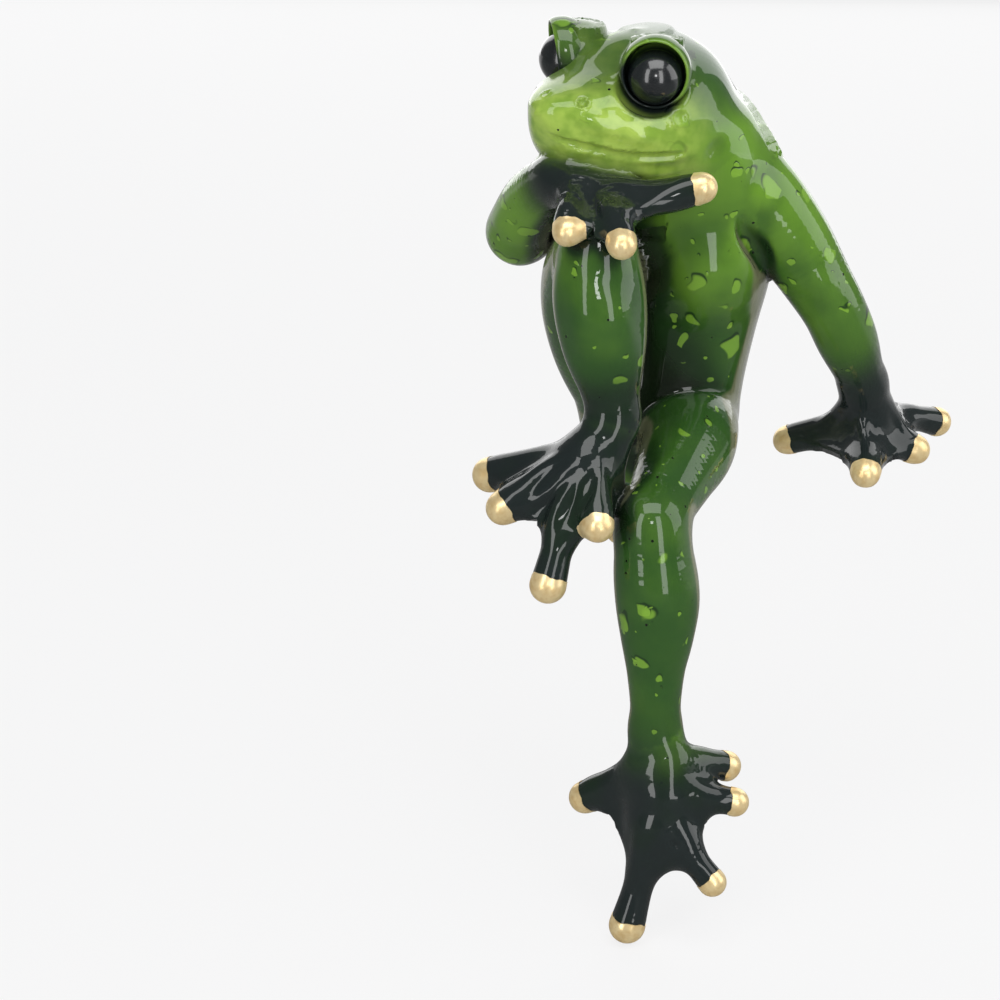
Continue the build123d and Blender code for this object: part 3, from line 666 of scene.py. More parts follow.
def skin_field(p, marked):
    """The frog's whole skin over one batch of places."""
    whole = sections_field(p)[1]
    if marked:
        for ridge in RIDGES:
            near = ((p > ridge.low) & (p < ridge.high)).all(1)
            if near.any():
                d, g = soft_union((whole[0][near], whole[1][near]), ridge.field(p[near]), ridge.blend)
                whole[0][near], whole[1][near] = d, g
        for groove in GROOVES:
            near = ((p > groove.low) & (p < groove.high)).all(1)
            if near.any():
                d, g = soft_cut((whole[0][near], whole[1][near]), groove.field(p[near]), groove.blend)
                whole[0][near], whole[1][near] = d, g
    under = p[:, 2]
    behind = SHELF_FRONT - p[:, 1]
    top = under > behind
    shelf = np.where(top, under, behind)
    way = np.where(top[:, None], (0.0, 0.0, 1.0), (0.0, -1.0, 0.0))
    return soft_cut(whole, (shelf, way), 1.0)


def seen(pixels):
    """The places on the skin that lie behind points of the picture."""
    place, ahead, right, up = camera_frame()
    pixels = np.asarray(pixels, float)
    scale = SENSOR / LENS / PICTURE
    ways = ahead + (pixels[:, :1] - PICTURE / 2) * scale * right - (pixels[:, 1:] - PICTURE / 2) * scale * up
    ways /= np.linalg.norm(ways, axis=1)[:, None]
    p = place + ways * (CAMERA_DISTANCE - RAY_CLEARANCE)
    for _ in range(RAY_STEPS):
        gap = frog_field(p, False)[0]
        p = p + ways * np.clip(gap * 0.8, -1, 20)[:, None]
    return p


def marked_line(pixels, radius, sink, blend):
    """A tool's path over the skin, sunk under it or held over it, that runs out at both ends."""
    places = seen(pixels)
    slope = frog_field(places, False)[1]
    slope /= np.linalg.norm(slope, axis=1)[:, None] + 1e-9
    steps = np.linspace(0, 1, len(places))
    fade = np.clip(6 * steps * (1 - steps), 0.25, 1)
    rows = np.column_stack((places - slope * sink, radius * fade))
    rows[:, :3] += slope * (radius - radius * fade)[:, None] * np.sign(-sink)
    return limb(rows, blend)


def mark_skin():
    """Lays out the ridges, creases and dimples of the skin."""
    RIDGES.clear()
    GROOVES.clear()
    for pixels, radius, height, blend in RIDGE_LINES:
        RIDGES.append(marked_line(pixels, radius, radius - height, blend))
    for pixels, radius, depth, blend in GROOVE_LINES:
        GROOVES.append(marked_line(pixels, radius, depth - radius, blend))
    spots = seen([pixel for pixel, _ in NOSTRILS] + [EAR_DISC])
    slope = frog_field(spots, False)[1]
    slope /= np.linalg.norm(slope, axis=1)[:, None] + 1e-9
    for spot, way, (_, radius) in zip(spots, slope, NOSTRILS):
        RIDGES.append(egg(spot - way * 1.1, (radius + 0.5,) * 3, 0.8))
        GROOVES.append(egg(spot + way * 0.3, (radius * 0.75,) * 3, 0.5))
    RIDGES.append(egg(spots[-1] - slope[-1] * 2.2, (3.0, 3.0, 3.0), 0.8))
    GROOVES.append(egg(spots[-1] + slope[-1] * 2.4, (2.9, 2.9, 2.9), 0.6))


def settle(p, rounds):
    """Moves places onto the frog's skin."""
    for _ in range(rounds):
        d, g = frog_field(p)
        steep = (g * g).sum(1) + 1e-6
        p = p - np.clip(d / steep, -2.0, 2.0)[:, None] * g
    return p


def evened(p, edges, rounds):
    """Spreads a mesh's points evenly along the skin, without taking them off it."""
    for _ in range(rounds):
        move = smoothed(p, edges, 1) - p
        normal = frog_field(p)[1]
        normal /= np.linalg.norm(normal, axis=1)[:, None] + 1e-9
        move -= (move * normal).sum(1)[:, None] * normal
        p = settle(p + move * 0.5, 1)
    return p


# Blender helpers


def deselect():
    """Leaves nothing selected, in object mode."""
    if bpy.context.object and bpy.context.object.mode != "OBJECT":
        bpy.ops.object.mode_set(mode="OBJECT")
    bpy.ops.object.select_all(action="DESELECT")


def only(obj):
    """Makes one object the selected and active one."""
    deselect()
    obj.select_set(True)
    bpy.context.view_layer.objects.active = obj


def points_of(mesh):
    """A mesh's points, in millimetres."""
    flat = np.empty(len(mesh.vertices) * 3)
    mesh.vertices.foreach_get("co", flat)
    return flat.reshape(-1, 3) / MM


def put_points(mesh, p):
    """Puts points in millimetres back into a mesh."""
    mesh.vertices.foreach_set("co", (p * MM).ravel())
    mesh.update()


def edges_of(mesh):
    """A mesh's edges as pairs of point numbers."""
    flat = np.empty(len(mesh.edges) * 2, int)
    mesh.edges.foreach_get("vertices", flat)
    return flat.reshape(-1, 2)


def rough_frog():
    """One object of balls, slabs and webs that fill the frog."""
    deselect()
    bpy.ops.mesh.primitive_uv_sphere_add(segments=16, ring_count=10, radius=1.0, location=(0, 0, 0))
    rough = bpy.context.object
    rough.name = "rough_frog"
    ball = np.array([vertex.co for vertex in rough.data.vertices])
    ball_faces = [list(face.vertices) for face in rough.data.polygons]
    points, faces = [], []

    def put(places, sides):
        offset = sum(len(rows) for rows in points)
        points.append(places)
        faces.extend([[corner + offset for corner in side] for side in sides])

    for form in (form for forms in CASTINGS.values() for form in forms):
        for centre, radius, flat in getattr(form, "balls", ()):
            radii = np.full(3, radius)
            if flat:
                radii = radius / (1 + (flat[1] - 1) * np.abs(np.asarray(flat[0], float)))
            put(ball * radii + centre, ball_faces)
        for centre, axes, radii in getattr(form, "slabs", ()):
            axes = np.array(axes, float)
            axes[1] *= np.sign(np.linalg.det(axes))
            put((ball * radii) @ axes + centre, ball_faces)
        if hasattr(form, "prism"):
            put(form.prism, PRISM_SIDES)
    rough.data.clear_geometry()
    rough.data.from_pydata((np.vstack(points) * MM).tolist(), [], faces)
    only(rough)
    bpy.ops.object.mode_set(mode="EDIT")
    bpy.ops.mesh.select_all(action="SELECT")
    bpy.ops.mesh.normals_make_consistent(inside=False)
    bpy.ops.object.mode_set(mode="OBJECT")
    return rough


def remesh(obj, size):
    """Gives a joined object one even skin."""
    only(obj)
    skin = obj.modifiers.new("skin", "REMESH")
    skin.mode = "VOXEL"
    skin.voxel_size = size * MM
    bpy.ops.object.modifier_apply(modifier=skin.name)


def set_value(mesh, name, values):
    """Stores one number at each point of a mesh."""
    layer = mesh.attributes.new(name, "FLOAT", "POINT")
    layer.data.foreach_set("value", np.asarray(values, np.float32))


def smooth_step(value, low, high):
    """0 below low, 1 above high, and a smooth rise between."""
    t = np.clip((value - low) / (high - low), 0, 1)
    return t * t * (3 - 2 * t)


def smoothed(values, edges, rounds):
    """Values at a mesh's points, averaged with their neighbours a number of times."""
    near, far = edges.T
    count = np.bincount(near, minlength=len(values)) + np.bincount(far, minlength=len(values)) + 1.0
    for _ in range(rounds):
        total = values.copy()
        for column in range(values.shape[1]):
            total[:, column] += np.bincount(near, values[far, column], len(values))
            total[:, column] += np.bincount(far, values[near, column], len(values))
        values = total / count[:, None]
    return values


def glaze_pool_and_shade_at(mesh, p, normal):
    """How far other skin closes in over each place, from 0 in the open to 1 in the deepest crease: painted
    shade there, where the glaze also pools.
    """
    tree = BVHTree.FromPolygons(p.tolist(), [face.vertices[:] for face in mesh.polygons])
    glaze_pool_and_shade = np.zeros(len(p))
    for height, weight in ((2.5, 0.4), (6.0, 0.35), (13.0, 0.15)):
        above = (p + normal * height).tolist()
        gap = np.array([tree.find_nearest(place, height * 1.5)[3] or height for place in above])
        glaze_pool_and_shade += weight * np.clip(1 - gap / height, 0, 1)
    return glaze_pool_and_shade


def skin_values(mesh, p, normal, section):
    """How much painted shade and pooled glaze, how much painted highlight, and how dark, pale, bare and
    rimmed the glaze is at each place.
    """
    names = list(CASTINGS)

    def among(*kinds):
        return np.isin(section, [i for i, n in enumerate(names) if any(kind in n for kind in kinds)])

    edges = edges_of(mesh)
    glaze_pool_and_shade = glaze_pool_and_shade_at(mesh, p, normal)
    trunk = section == names.index("torso")
    # Painted shade added to the pooled glaze and shade value: round the lap, where the thighs meet the belly,
    # and darker towards the right ankle, the left wrist and the left ankle.
    for joint, reach, depth, here in (
        (LAP, 20.0, 0.8, trunk), (RIGHT_ANKLE, 18.0, 0.5, section == names.index("right_shin")),
        (LEFT_WRIST, 30.0, 0.3, section == names.index("left_arm")),
        (LEFT_ANKLE, 20.0, 0.2, section == names.index("left_shin")),
    ):
        glaze_pool_and_shade[here] += depth * np.exp(-((np.linalg.norm(p[here] - np.array(joint), axis=1) / reach) ** 2))
    glaze_pool_and_shade = smoothed(glaze_pool_and_shade[:, None], edges, 3)[:, 0]
    # Painted highlight: lighter on the crests of the skin, lighter again from 45 to 92 mm up and a little on
    # the trunk, less over the crown and on the legs.
    crest_highlight = ((p - smoothed(p, edges, 50)) * normal).sum(1)
    crest_highlight = 0.4 * smooth_step(crest_highlight, -0.15, 0.85) + 0.5 * smooth_step(p[:, 2], 45.0, 92.0) + 0.1 * trunk
    crest_highlight *= 1 - 0.9 * smooth_step(p[:, 2], 94.0, 108.0)
    crest_highlight[among("shin", "thigh")] *= 0.45
    dark = among("foot", "hand").astype(float)
    for joint, limb_name, start, end in (
        (RIGHT_ANKLE, "right_shin", 1.0, 19.0), (LEFT_WRIST, "left_arm", 6.0, 20.0),
        (RIGHT_WRIST, "right_arm", 6.0, 16.0),
    ):
        here = section == names.index(limb_name)
        away = np.linalg.norm(p - np.asarray(joint), axis=1)
        dark[here] = 1 - smooth_step(away[here], start, end)
    hanging = among("left_foot", "left_shin")
    dark[hanging] = 1 - smooth_step(p[hanging, 2], -62.0, -44.0)
    on_face = among("head", "torso") & (p[:, 2] > 84)
    pale = face_pale(p) * on_face
    flank = np.linalg.norm(normal[:, :2], axis=1)
    turned = normal[:, 1] * math.cos(CAMERA_TURN) - normal[:, 0] * math.sin(CAMERA_TURN)
    turned += (0.55 + 0.2 * trunk) * flank
    bare = smooth_step(turned, 0.1, 0.3) * (1 - smooth_step(p[:, 2], 62.0, 84.0))
    bare[among("arm", "hand", "foot")] = 0
    rim = np.maximum(lid_black(1, p), lid_black(-1, p))
    dark, pale = smoothed(np.column_stack((dark, pale)), edges, 14).T
    bare = smoothed(bare[:, None], edges, 2)[:, 0]
    # Painted shade is kept mostly off the pale face.
    glaze_pool_and_shade *= 1 - 0.8 * pale
    return {"glaze_pool_and_shade": glaze_pool_and_shade, "crest_highlight": crest_highlight, "dark": dark, "pale": pale, "bare": bare, "rim": rim}


def divide(p):
    """Which casting each of many places belongs to."""
    return in_batches(lambda batch: (nearest_casting(batch),), p)[0]


def nearest_casting(p):
    """Which casting each place of one batch belongs to."""
    parts = sections_field(p)[0]
    names = list(CASTINGS)
    gaps = np.column_stack([parts[name][0] for name in names])
    above = (p - np.asarray(NECK)) @ NECK_WAY > 0
    gaps[:, names.index("torso")] = np.where(above, FAR, np.minimum(gaps[:, 0], gaps[:, 1]))
    gaps[:, names.index("head")] = np.where(above, np.minimum(parts["torso"][0], parts["head"][0]), FAR)
    return gaps.argmin(1)


skin_store = {}


def face_pairs(corners):
    """Pairs of faces that share an edge."""
    edges = np.sort(np.stack((corners, np.roll(corners, -1, axis=1)), axis=2).reshape(-1, 2), axis=1)
    owner = np.repeat(np.arange(len(corners)), 4)
    order = np.lexsort((edges[:, 1], edges[:, 0]))
    same = (edges[order[1:]] == edges[order[:-1]]).all(1)
    return np.column_stack((owner[order[:-1]][same], owner[order[1:]][same]))


def without_islands(faces, pairs, least):
    """Gives patches of fewer faces than the least to the casting beside them."""
    for _ in range(3):
        group = np.arange(len(faces))
        alike = pairs[faces[pairs[:, 0]] == faces[pairs[:, 1]]]
        while True:
            before = group.copy()
            lowest = np.minimum(group[alike[:, 0]], group[alike[:, 1]])
            np.minimum.at(group, alike[:, 0], lowest)
            np.minimum.at(group, alike[:, 1], lowest)
            group = group[group]
            if (group == before).all():
                break
        size = np.bincount(group, minlength=len(faces))[group]
        unlike = pairs[faces[pairs[:, 0]] != faces[pairs[:, 1]]]
        unlike = np.vstack((unlike, unlike[:, ::-1]))
        unlike = unlike[(size[unlike[:, 0]] < least) & (size[unlike[:, 1]] >= least)]
        if not len(unlike):
            break
        taken = np.full(len(faces), -1)
        taken[group[unlike[:, 0]]] = faces[unlike[:, 1]]
        moved = taken[group] >= 0
        faces = np.where(moved, taken[group], faces)
    return faces


def evened_faces(faces, corners, rounds):
    """Smooths the lines between the castings."""
    count = corners.max() + 1
    kinds = len(CASTINGS)
    for _ in range(rounds):
        votes = np.zeros((count, kinds))
        for i in range(4):
            np.add.at(votes, (corners[:, i], faces), 1)
        faces = votes[corners].sum(1).argmax(1)
    return faces


def cast_frog(coarse, fine):
    """Makes the frog's skin and sorts its faces into castings."""
    mark_skin()
    rough = rough_frog()
    remesh(rough, coarse)
    put_points(rough.data, settle(points_of(rough.data), 9))
    remesh(rough, fine)
    mesh = rough.data
    p = settle(points_of(mesh), 3)
    p = evened(p, edges_of(mesh), 2)
    p = settle(p, 1)
    put_points(mesh, p)
    normal = frog_field(p)[1]
    normal /= np.linalg.norm(normal, axis=1)[:, None] + 1e-9
    corners = np.empty(len(mesh.polygons) * 4, int)
    mesh.polygons.foreach_get("vertices", corners)
    corners = corners.reshape(-1, 4)
    faces = evened_faces(divide(p[corners].mean(1)), corners, 4)
    faces = without_islands(faces, face_pairs(corners), 400)
    section = np.zeros(len(p), int)
    section[corners.ravel()] = np.repeat(faces, 4)
    skin_store.update(points=p, normal=normal, corners=corners, faces=faces)
    skin_store.update(values=skin_values(mesh, p, normal, section))
    bpy.data.objects.remove(rough)


def open_loops(corners):
    """The open edges of a cut-out skin, as rows of points in order."""
    starts, ends = corners.ravel(), np.roll(corners, -1, axis=1).ravel()
    known = set(zip(starts.tolist(), ends.tolist()))
    follow = {}
    for start, end in known:
        if (end, start) not in known:
            follow.setdefault(end, []).append(start)
    loops = []
    while follow:
        first = next(iter(follow))
        loop = [first]
        while True:
            here = loop[-1]
            step = follow[here].pop()
            if not follow[here]:
                del follow[here]
            if step == first:
                break
            loop.append(step)
        loops.append(loop)
    return loops


def sunk(p, depth):
    """Places moved inwards until they lie at least so deep in the frog."""
    for _ in range(12):
        d, g = frog_field(p)
        steep = (g * g).sum(1) + 0.05
        p = p - (np.clip(d + depth, 0, 0.8) / steep)[:, None] * g
    return p


def eyelid(side):
    """The cupped lid that stands up round an eyeball: its places, its faces and the shades of its glaze, with
    painted shade inside it and painted highlight along its edge.
    """
    eye, gaze = eye_place(side)
    beside = np.cross(gaze, UPWARD)
    profile = spline((*LID_PROFILE, LID_PROFILE[0]), LID_STEPS)[:-1]
    rows, turns = len(profile), np.linspace(0, 2 * math.pi, LID_SIDES, endpoint=False)
    rise = np.outer(profile[:, 1], np.cos(turns)).ravel()
    across = np.outer(profile[:, 1], np.sin(turns)).ravel() * LID_NARROWED
    ahead = np.repeat(profile[:, 0], LID_SIDES) + rise * LID_LEAN
    p = eye + np.outer(ahead, gaze) + np.outer(across, beside) + np.outer(rise + LID_RISE, UPWARD)
    first = np.arange(rows * LID_SIDES).reshape(rows, LID_SIDES)
    quads = (first, np.roll(first, -1, 0), np.roll(np.roll(first, -1, 0), -1, 1), np.roll(first, -1, 1))
    faces = np.column_stack([corner.ravel() for corner in quads])
    inner = np.repeat(np.arange(rows) > LID_EDGE * LID_STEPS, LID_SIDES)
    edge = np.exp(-((np.repeat(np.arange(rows), LID_SIDES) / LID_STEPS - LID_EDGE) ** 2))
    # Painted shade inside the cup, deepest towards the back; painted highlight and paler face colour along
    # its edge.
    values = {
        "glaze_pool_and_shade": inner * (0.1 + 0.5 * smooth_step(-np.repeat(profile[:, 0], LID_SIDES), -1.0, 3.0)),
        "crest_highlight": 0.1 + 0.6 * edge, "pale": 0.6 * face_pale(p) + 0.15 * edge,
        "dark": np.zeros(len(p)), "bare": np.zeros(len(p)), "rim": lid_black(side, p),
    }
    return p, faces, values


def take_casting(name, finish):
    """Cuts one casting out of the skin and closes it, inside the frog, where it joins its neighbours."""
    number = list(CASTINGS).index(name)
    corners = skin_store["corners"][skin_store["faces"] == number]
    used, corners = np.unique(corners, return_inverse=True)
    corners = corners.reshape(-1, 4)
    p = skin_store["points"][used]
    normal = skin_store["normal"][used]
    values = {key: value[used] for key, value in skin_store["values"].items()}
    faces = corners.tolist()
    points, sources = [p], [np.arange(len(used))]
    total = len(used)
    for loop in open_loops(corners):
        loop = np.array(loop)
        rim = p[loop]
        first = rim - normal[loop] * 0.7
        centre = sunk(first.mean(0)[None], 1.5)
        rings = [loop]
        for share in (0.0, 0.35, 0.7):
            ring = first + (centre - first) * share
            if share:
                ring = sunk(ring, 1.0)
            points.append(ring)
            sources.append(loop)
            rings.append(np.arange(total, total + len(loop)))
            total += len(loop)
        points.append(centre)
        sources.append(loop[:1])
        for outer, inner in zip(rings, rings[1:]):
            around = np.column_stack((outer, np.roll(outer, -1), np.roll(inner, -1), inner))
            faces += around.tolist()
        last = rings[-1]
        faces += np.column_stack((last, np.roll(last, -1), np.full(len(last), total))).tolist()
        total += 1
    points, sources = np.vstack(points), np.concatenate(sources)
    values = {key: value[sources] for key, value in values.items()}
    for side in (1, -1) if name == "head" else ():
        lid, lid_faces, lid_values = eyelid(side)
        faces += (lid_faces + len(points)).tolist()
        points = np.vstack((points, lid))
        values = {key: np.concatenate((value, lid_values[key])) for key, value in values.items()}
    mesh = bpy.data.meshes.new(name + "_skin")
    mesh.from_pydata((points * MM).tolist(), [], faces)
    for key, value in values.items():
        set_value(mesh, key, value)
    piece = bpy.data.objects.new(name + "_casting", mesh)
    bpy.context.scene.collection.objects.link(piece)
    only(piece)
    bpy.ops.object.shade_smooth()
    normals = np.zeros((len(points), 3))
    normals[: len(used)] = normal
    mesh.normals_split_custom_set_from_vertices(normals.tolist())
    mesh.materials.append(finish)
    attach(piece, "root")
    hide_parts(name)
    return piece


# Finishes


def nodes_of(name):
    """A new material with its node tree and shader."""
    material = bpy.data.materials.new(name)
    material.use_nodes = True
    tree = material.node_tree
    return material, tree, tree.nodes["Principled BSDF"]


class Weaver:
    """Adds nodes to a material by name and joins them."""

    def __init__(self, tree):
        self.tree = tree

    def add(self, kind, values=None, **settings):
        node = self.tree.nodes.new(kind)
        for key, value in settings.items():
            setattr(node, key, value)
        for key, value in (values or {}).items():
            self.give(node.inputs[key], value)
        return node

    def give(self, socket, value):
        if isinstance(value, bpy.types.NodeSocket):
            self.tree.links.new(value, socket)
        elif value is not None:
            socket.default_value = value

    def math(self, operation, *values, clamp=False):
        node = self.add("ShaderNodeMath", operation=operation, use_clamp=clamp)
        for socket, value in zip(node.inputs, values):
            self.give(socket, value)
        return node.outputs[0]

    def vector(self, operation, *values):
        node = self.add("ShaderNodeVectorMath", operation=operation)
        for socket, value in zip(node.inputs, values):
            self.give(socket, value)
        return node.outputs["Value" if operation in ("LENGTH", "DOT_PRODUCT", "DISTANCE") else "Vector"]

    def step(self, value, low, high):
        node = self.add("ShaderNodeMapRange", interpolation_type="SMOOTHSTEP")
        for key, given in (("Value", value), ("From Min", low), ("From Max", high)):
            self.give(node.inputs[key], given)
        return node.outputs["Result"]

    def mix(self, share, first, second):
        node = self.add("ShaderNodeMix", data_type="RGBA")
        for socket, value in zip((node.inputs[0], node.inputs[6], node.inputs[7]), (share, first, second)):
            self.give(socket, value)
        return node.outputs[2]

    def value(self, name):
        return self.add("ShaderNodeAttribute", attribute_name=name).outputs["Fac"]

    def place(self):
        return self.add("ShaderNodeTexCoord").outputs["Object"]

    def noise(self, place, scale, detail=2.0, rough=0.5):
        values = {"Vector": place, "Scale": scale, "Detail": detail, "Roughness": rough}
        return self.add("ShaderNodeTexNoise", values).outputs["Fac"]


def droplets(w, place, scale, share, least, range_, colour_seed):
    """Drops trapped under the glaze: their bodies, and the shade along the upper edge of each."""
    bend = w.add("ShaderNodeTexNoise", {"Vector": place, "Scale": scale * 1.6, "Detail": 1.0})
    shift = w.vector("SCALE", w.vector("SUBTRACT", bend.outputs["Color"], (0.5, 0.5, 0.5)))
    w.give(shift.node.inputs["Scale"], 0.6 / scale)
    bent = w.vector("ADD", w.vector("ADD", place, shift), colour_seed)
    cell = w.add("ShaderNodeTexVoronoi", {"Vector": bent, "Scale": scale, "Randomness": 1.0}, feature="F1")
    apart = w.vector("SUBTRACT", bent, cell.outputs["Position"])
    pick = w.add("ShaderNodeSeparateColor", {"Color": cell.outputs["Color"]})
    herd = w.step(w.noise(place, 42.0, 0.0), 0.42, 0.6)
    crowd = w.math("MULTIPLY", w.math("MULTIPLY_ADD", herd, 0.9, 0.2), share)
    kept = w.math("LESS_THAN", pick.outputs[0], crowd)
    size = w.math("MULTIPLY_ADD", w.math("POWER", pick.outputs[1], 2.0), range_, least)
    reach = w.math("DIVIDE", w.vector("LENGTH", apart), size)
    body = w.math("MULTIPLY", kept, w.step(reach, 1.04, 0.86))
    lifted = w.vector("ADD", apart, w.vector("SCALE", (0.25, -0.2, 1.0)))
    w.give(lifted.node.inputs[1].links[0].from_node.inputs["Scale"], w.math("MULTIPLY", size, 0.28))
    lens = w.math("MULTIPLY", body, w.step(w.math("DIVIDE", w.vector("LENGTH", lifted), size), 1.02, 0.76))
    return lens, w.math("SUBTRACT", body, lens, clamp=True)


def glaze_material(colours):
    """Glossy green glaze with painted shade in the hollows, where the glaze also pools, and painted highlight
    on the crests, with droplets trapped under it.
    """
    material, tree, shader = nodes_of("green_glaze_finish")
    w = Weaver(tree)
    place = w.place()
    attributes = ("glaze_pool_and_shade", "crest_highlight", "dark", "pale", "bare", "rim")
    glaze_pool_and_shade, crest_highlight, dark, pale, bare, rim = (w.value(name) for name in attributes)
    cloud = w.noise(place, 55.0, 3.0)
    fine = w.noise(place, 240.0, 2.0)
    stir = w.math("MULTIPLY", w.math("SUBTRACT", cloud, 0.5), 0.7)
    # Painted highlight: the lighter glaze follows the crest highlight value.
    lift = w.math("ADD", w.math("MULTIPLY", crest_highlight, 0.9), stir)
    green = w.mix(w.step(lift, 0.05, 0.8), (*colours.glaze_middle, 1), (*colours.highlight_glaze, 1))
    # Painted shade: the deep and black glazes follow the pooled glaze and shade value.
    depth = w.math("ADD", glaze_pool_and_shade, w.math("MULTIPLY", stir, 0.35))
    green = w.mix(w.step(depth, 0.1, 0.42), green, (*colours.pooled_shade_glaze, 1))
    green = w.mix(w.step(depth, 0.36, 0.75), green, (*colours.crease_shade_and_speck_black, 1))
    face = w.mix(w.step(w.math("ADD", fine, stir), 0.3, 0.8), (*colours.face, 1), (*colours.face_shade, 1))
    # Painted shade also dims the face colour in the hollows.
    open_face = w.math("SUBTRACT", 1.0, w.math("MULTIPLY", w.step(glaze_pool_and_shade, 0.3, 0.8), 0.8))
    open_face = w.math("MULTIPLY", pale, open_face)
    green = w.mix(open_face, green, face)

    calm = w.math("MAXIMUM", w.math("MAXIMUM", dark, bare), w.step(glaze_pool_and_shade, 0.35, 0.6))
    calm = w.math("SUBTRACT", 1.0, calm)
    calm = w.math("MULTIPLY", calm, w.math("SUBTRACT", 1.0, w.math("MULTIPLY", pale, 0.85)), clamp=True)
    swell = None
    for scale, share, least, spread, seed in (
        (98.0, 0.95, 0.0015, 0.0021, (0, 0, 0)), (135.0, 0.85, 0.0009, 0.0017, (0.31, 0.17, 0.05)),
        (260.0, 0.5, 0.0004, 0.0008, (0.11, 0.47, 0.23)),
    ):
        lens, shade = droplets(w, place, scale, share, least, spread, seed)
        lens, shade = w.math("MULTIPLY", lens, calm), w.math("MULTIPLY", shade, calm)
        green = w.mix(w.math("MULTIPLY", shade, 0.9), green, (*colours.pooled_shade_glaze, 1))
        green = w.mix(w.math("MULTIPLY", lens, 0.7), green, (*colours.droplet, 1))
        swell = lens if swell is None else w.math("MAXIMUM", swell, lens)
    specks = w.add("ShaderNodeTexVoronoi", {"Vector": place, "Scale": 330.0}, feature="F1")
    speck_pick = w.add("ShaderNodeSeparateColor", {"Color": specks.outputs["Color"]})
    speck = w.math("LESS_THAN", specks.outputs["Distance"], 0.12)
    speck = w.math("MULTIPLY", speck, w.math("LESS_THAN", speck_pick.outputs[2], 0.12))
    green = w.mix(speck, green, (*colours.crease_shade_and_speck_black, 1))

    streak = w.add("ShaderNodeMapping", {"Vector": place, "Scale": (1.0, 1.0, 0.08)})
    grain = w.noise(streak.outputs["Vector"], 900.0, 3.0, 0.65)
    stone = w.mix(w.step(grain, 0.2, 0.9), (*colours.bare_dark, 1), (*colours.bare_light, 1))
    edge = w.step(w.math("ADD", bare, w.math("MULTIPLY", stir, 0.6)), 0.3, 0.8)
    green = w.mix(w.math("MULTIPLY", edge, 0.85), green, stone)
    night = w.mix(w.step(cloud, 0.45, 0.8), (*colours.dark_glaze, 1), (*colours.dark_green, 1))
    colour = w.mix(w.math("MAXIMUM", dark, rim), green, night)
    tree.links.new(colour, shader.inputs["Base Color"])
    tree.links.new(w.math("MULTIPLY_ADD", edge, 0.2, 0.35), shader.inputs["Roughness"])
    shader.inputs["Coat Weight"].default_value = 1.0
    shader.inputs["Coat Roughness"].default_value = 0.04
    shader.inputs["Coat IOR"].default_value = 1.5
    shader.inputs["Specular IOR Level"].default_value = 0.05
    ripple = w.noise(place, 75.0, 0.0)
    height = w.math("ADD", w.math("MULTIPLY", swell, 0.15), ripple)
    height = w.math("ADD", height, w.math("MULTIPLY", w.math("MULTIPLY", grain, edge), 0.35))
    bump = w.add("ShaderNodeBump", {"Strength": 0.24, "Distance": 0.0006, "Height": height})
    tree.links.new(bump.outputs["Normal"], shader.inputs["Normal"])
    tree.links.new(bump.outputs["Normal"], shader.inputs["Coat Normal"])
    return material


def gilt_material(colours):
    """Brushed pale gold paint."""
    material, tree, shader = nodes_of("gilt_finish")
    w = Weaver(tree)
    place = w.place()
    cloud = w.noise(place, 500.0, 3.0)
    colour = w.mix(w.step(cloud, 0.3, 0.75), (*colours.gilt, 1), (*colours.gilt_shade, 1))
    tree.links.new(colour, shader.inputs["Base Color"])
    shader.inputs["Metallic"].default_value = 0.6
    tree.links.new(w.math("MULTIPLY_ADD", cloud, 0.2, 0.22), shader.inputs["Roughness"])
    height = w.noise(place, 420.0, 3.0, 0.6)
    bump = w.add("ShaderNodeBump", {"Strength": 0.3, "Distance": 0.0003, "Height": height})
    tree.links.new(bump.outputs["Normal"], shader.inputs["Normal"])
    return material


def eye_material(colours):
    """Polished black."""
    material, tree, shader = nodes_of("eye_finish")
    w = Weaver(tree)
    cloud = w.noise(w.place(), 120.0, 2.0)
    colour = w.mix(cloud, (*colours.eye, 1), (*colours.dark_glaze, 1))
    tree.links.new(colour, shader.inputs["Base Color"])
    shader.inputs["Roughness"].default_value = 0.25
    shader.inputs["Coat Weight"].default_value = 1.0
    shader.inputs["Coat Roughness"].default_value = 0.02
    return material


def steel_material():
    """Drawn steel rod."""
    material, tree, shader = nodes_of("pin_finish")
    w = Weaver(tree)
    cloud = w.noise(w.place(), 900.0, 2.0)
    tree.links.new(w.mix(cloud, (0.42, 0.42, 0.43, 1), (0.6, 0.6, 0.61, 1)), shader.inputs["Base Color"])
    tree.links.new(w.math("MULTIPLY_ADD", cloud, 0.2, 0.3), shader.inputs["Roughness"])
    shader.inputs["Metallic"].default_value = 1.0
    return material


def felt_material(colours):
    """Matted wool felt."""
    material, tree, shader = nodes_of("felt_finish")
    w = Weaver(tree)
    place = w.place()
    fibre = w.noise(place, 1800.0, 5.0, 0.7)
    tree.links.new(w.mix(fibre, (*colours.felt, 1), (*colours.felt_light, 1)), shader.inputs["Base Color"])
    shader.inputs["Roughness"].default_value = 0.95
    shader.inputs["Sheen Weight"].default_value = 0.4
    bump = w.add("ShaderNodeBump", {"Strength": 0.6, "Distance": 0.0003, "Height": fibre})
    tree.links.new(bump.outputs["Normal"], shader.inputs["Normal"])
    return material


# Sizes and colours that a user would change


def colour_property(name, description, default):
    """A colour with its own name and default."""
    return bpy.props.FloatVectorProperty(
        name=name, description=description, subtype="COLOR", size=3, min=0, max=1, default=default
    )


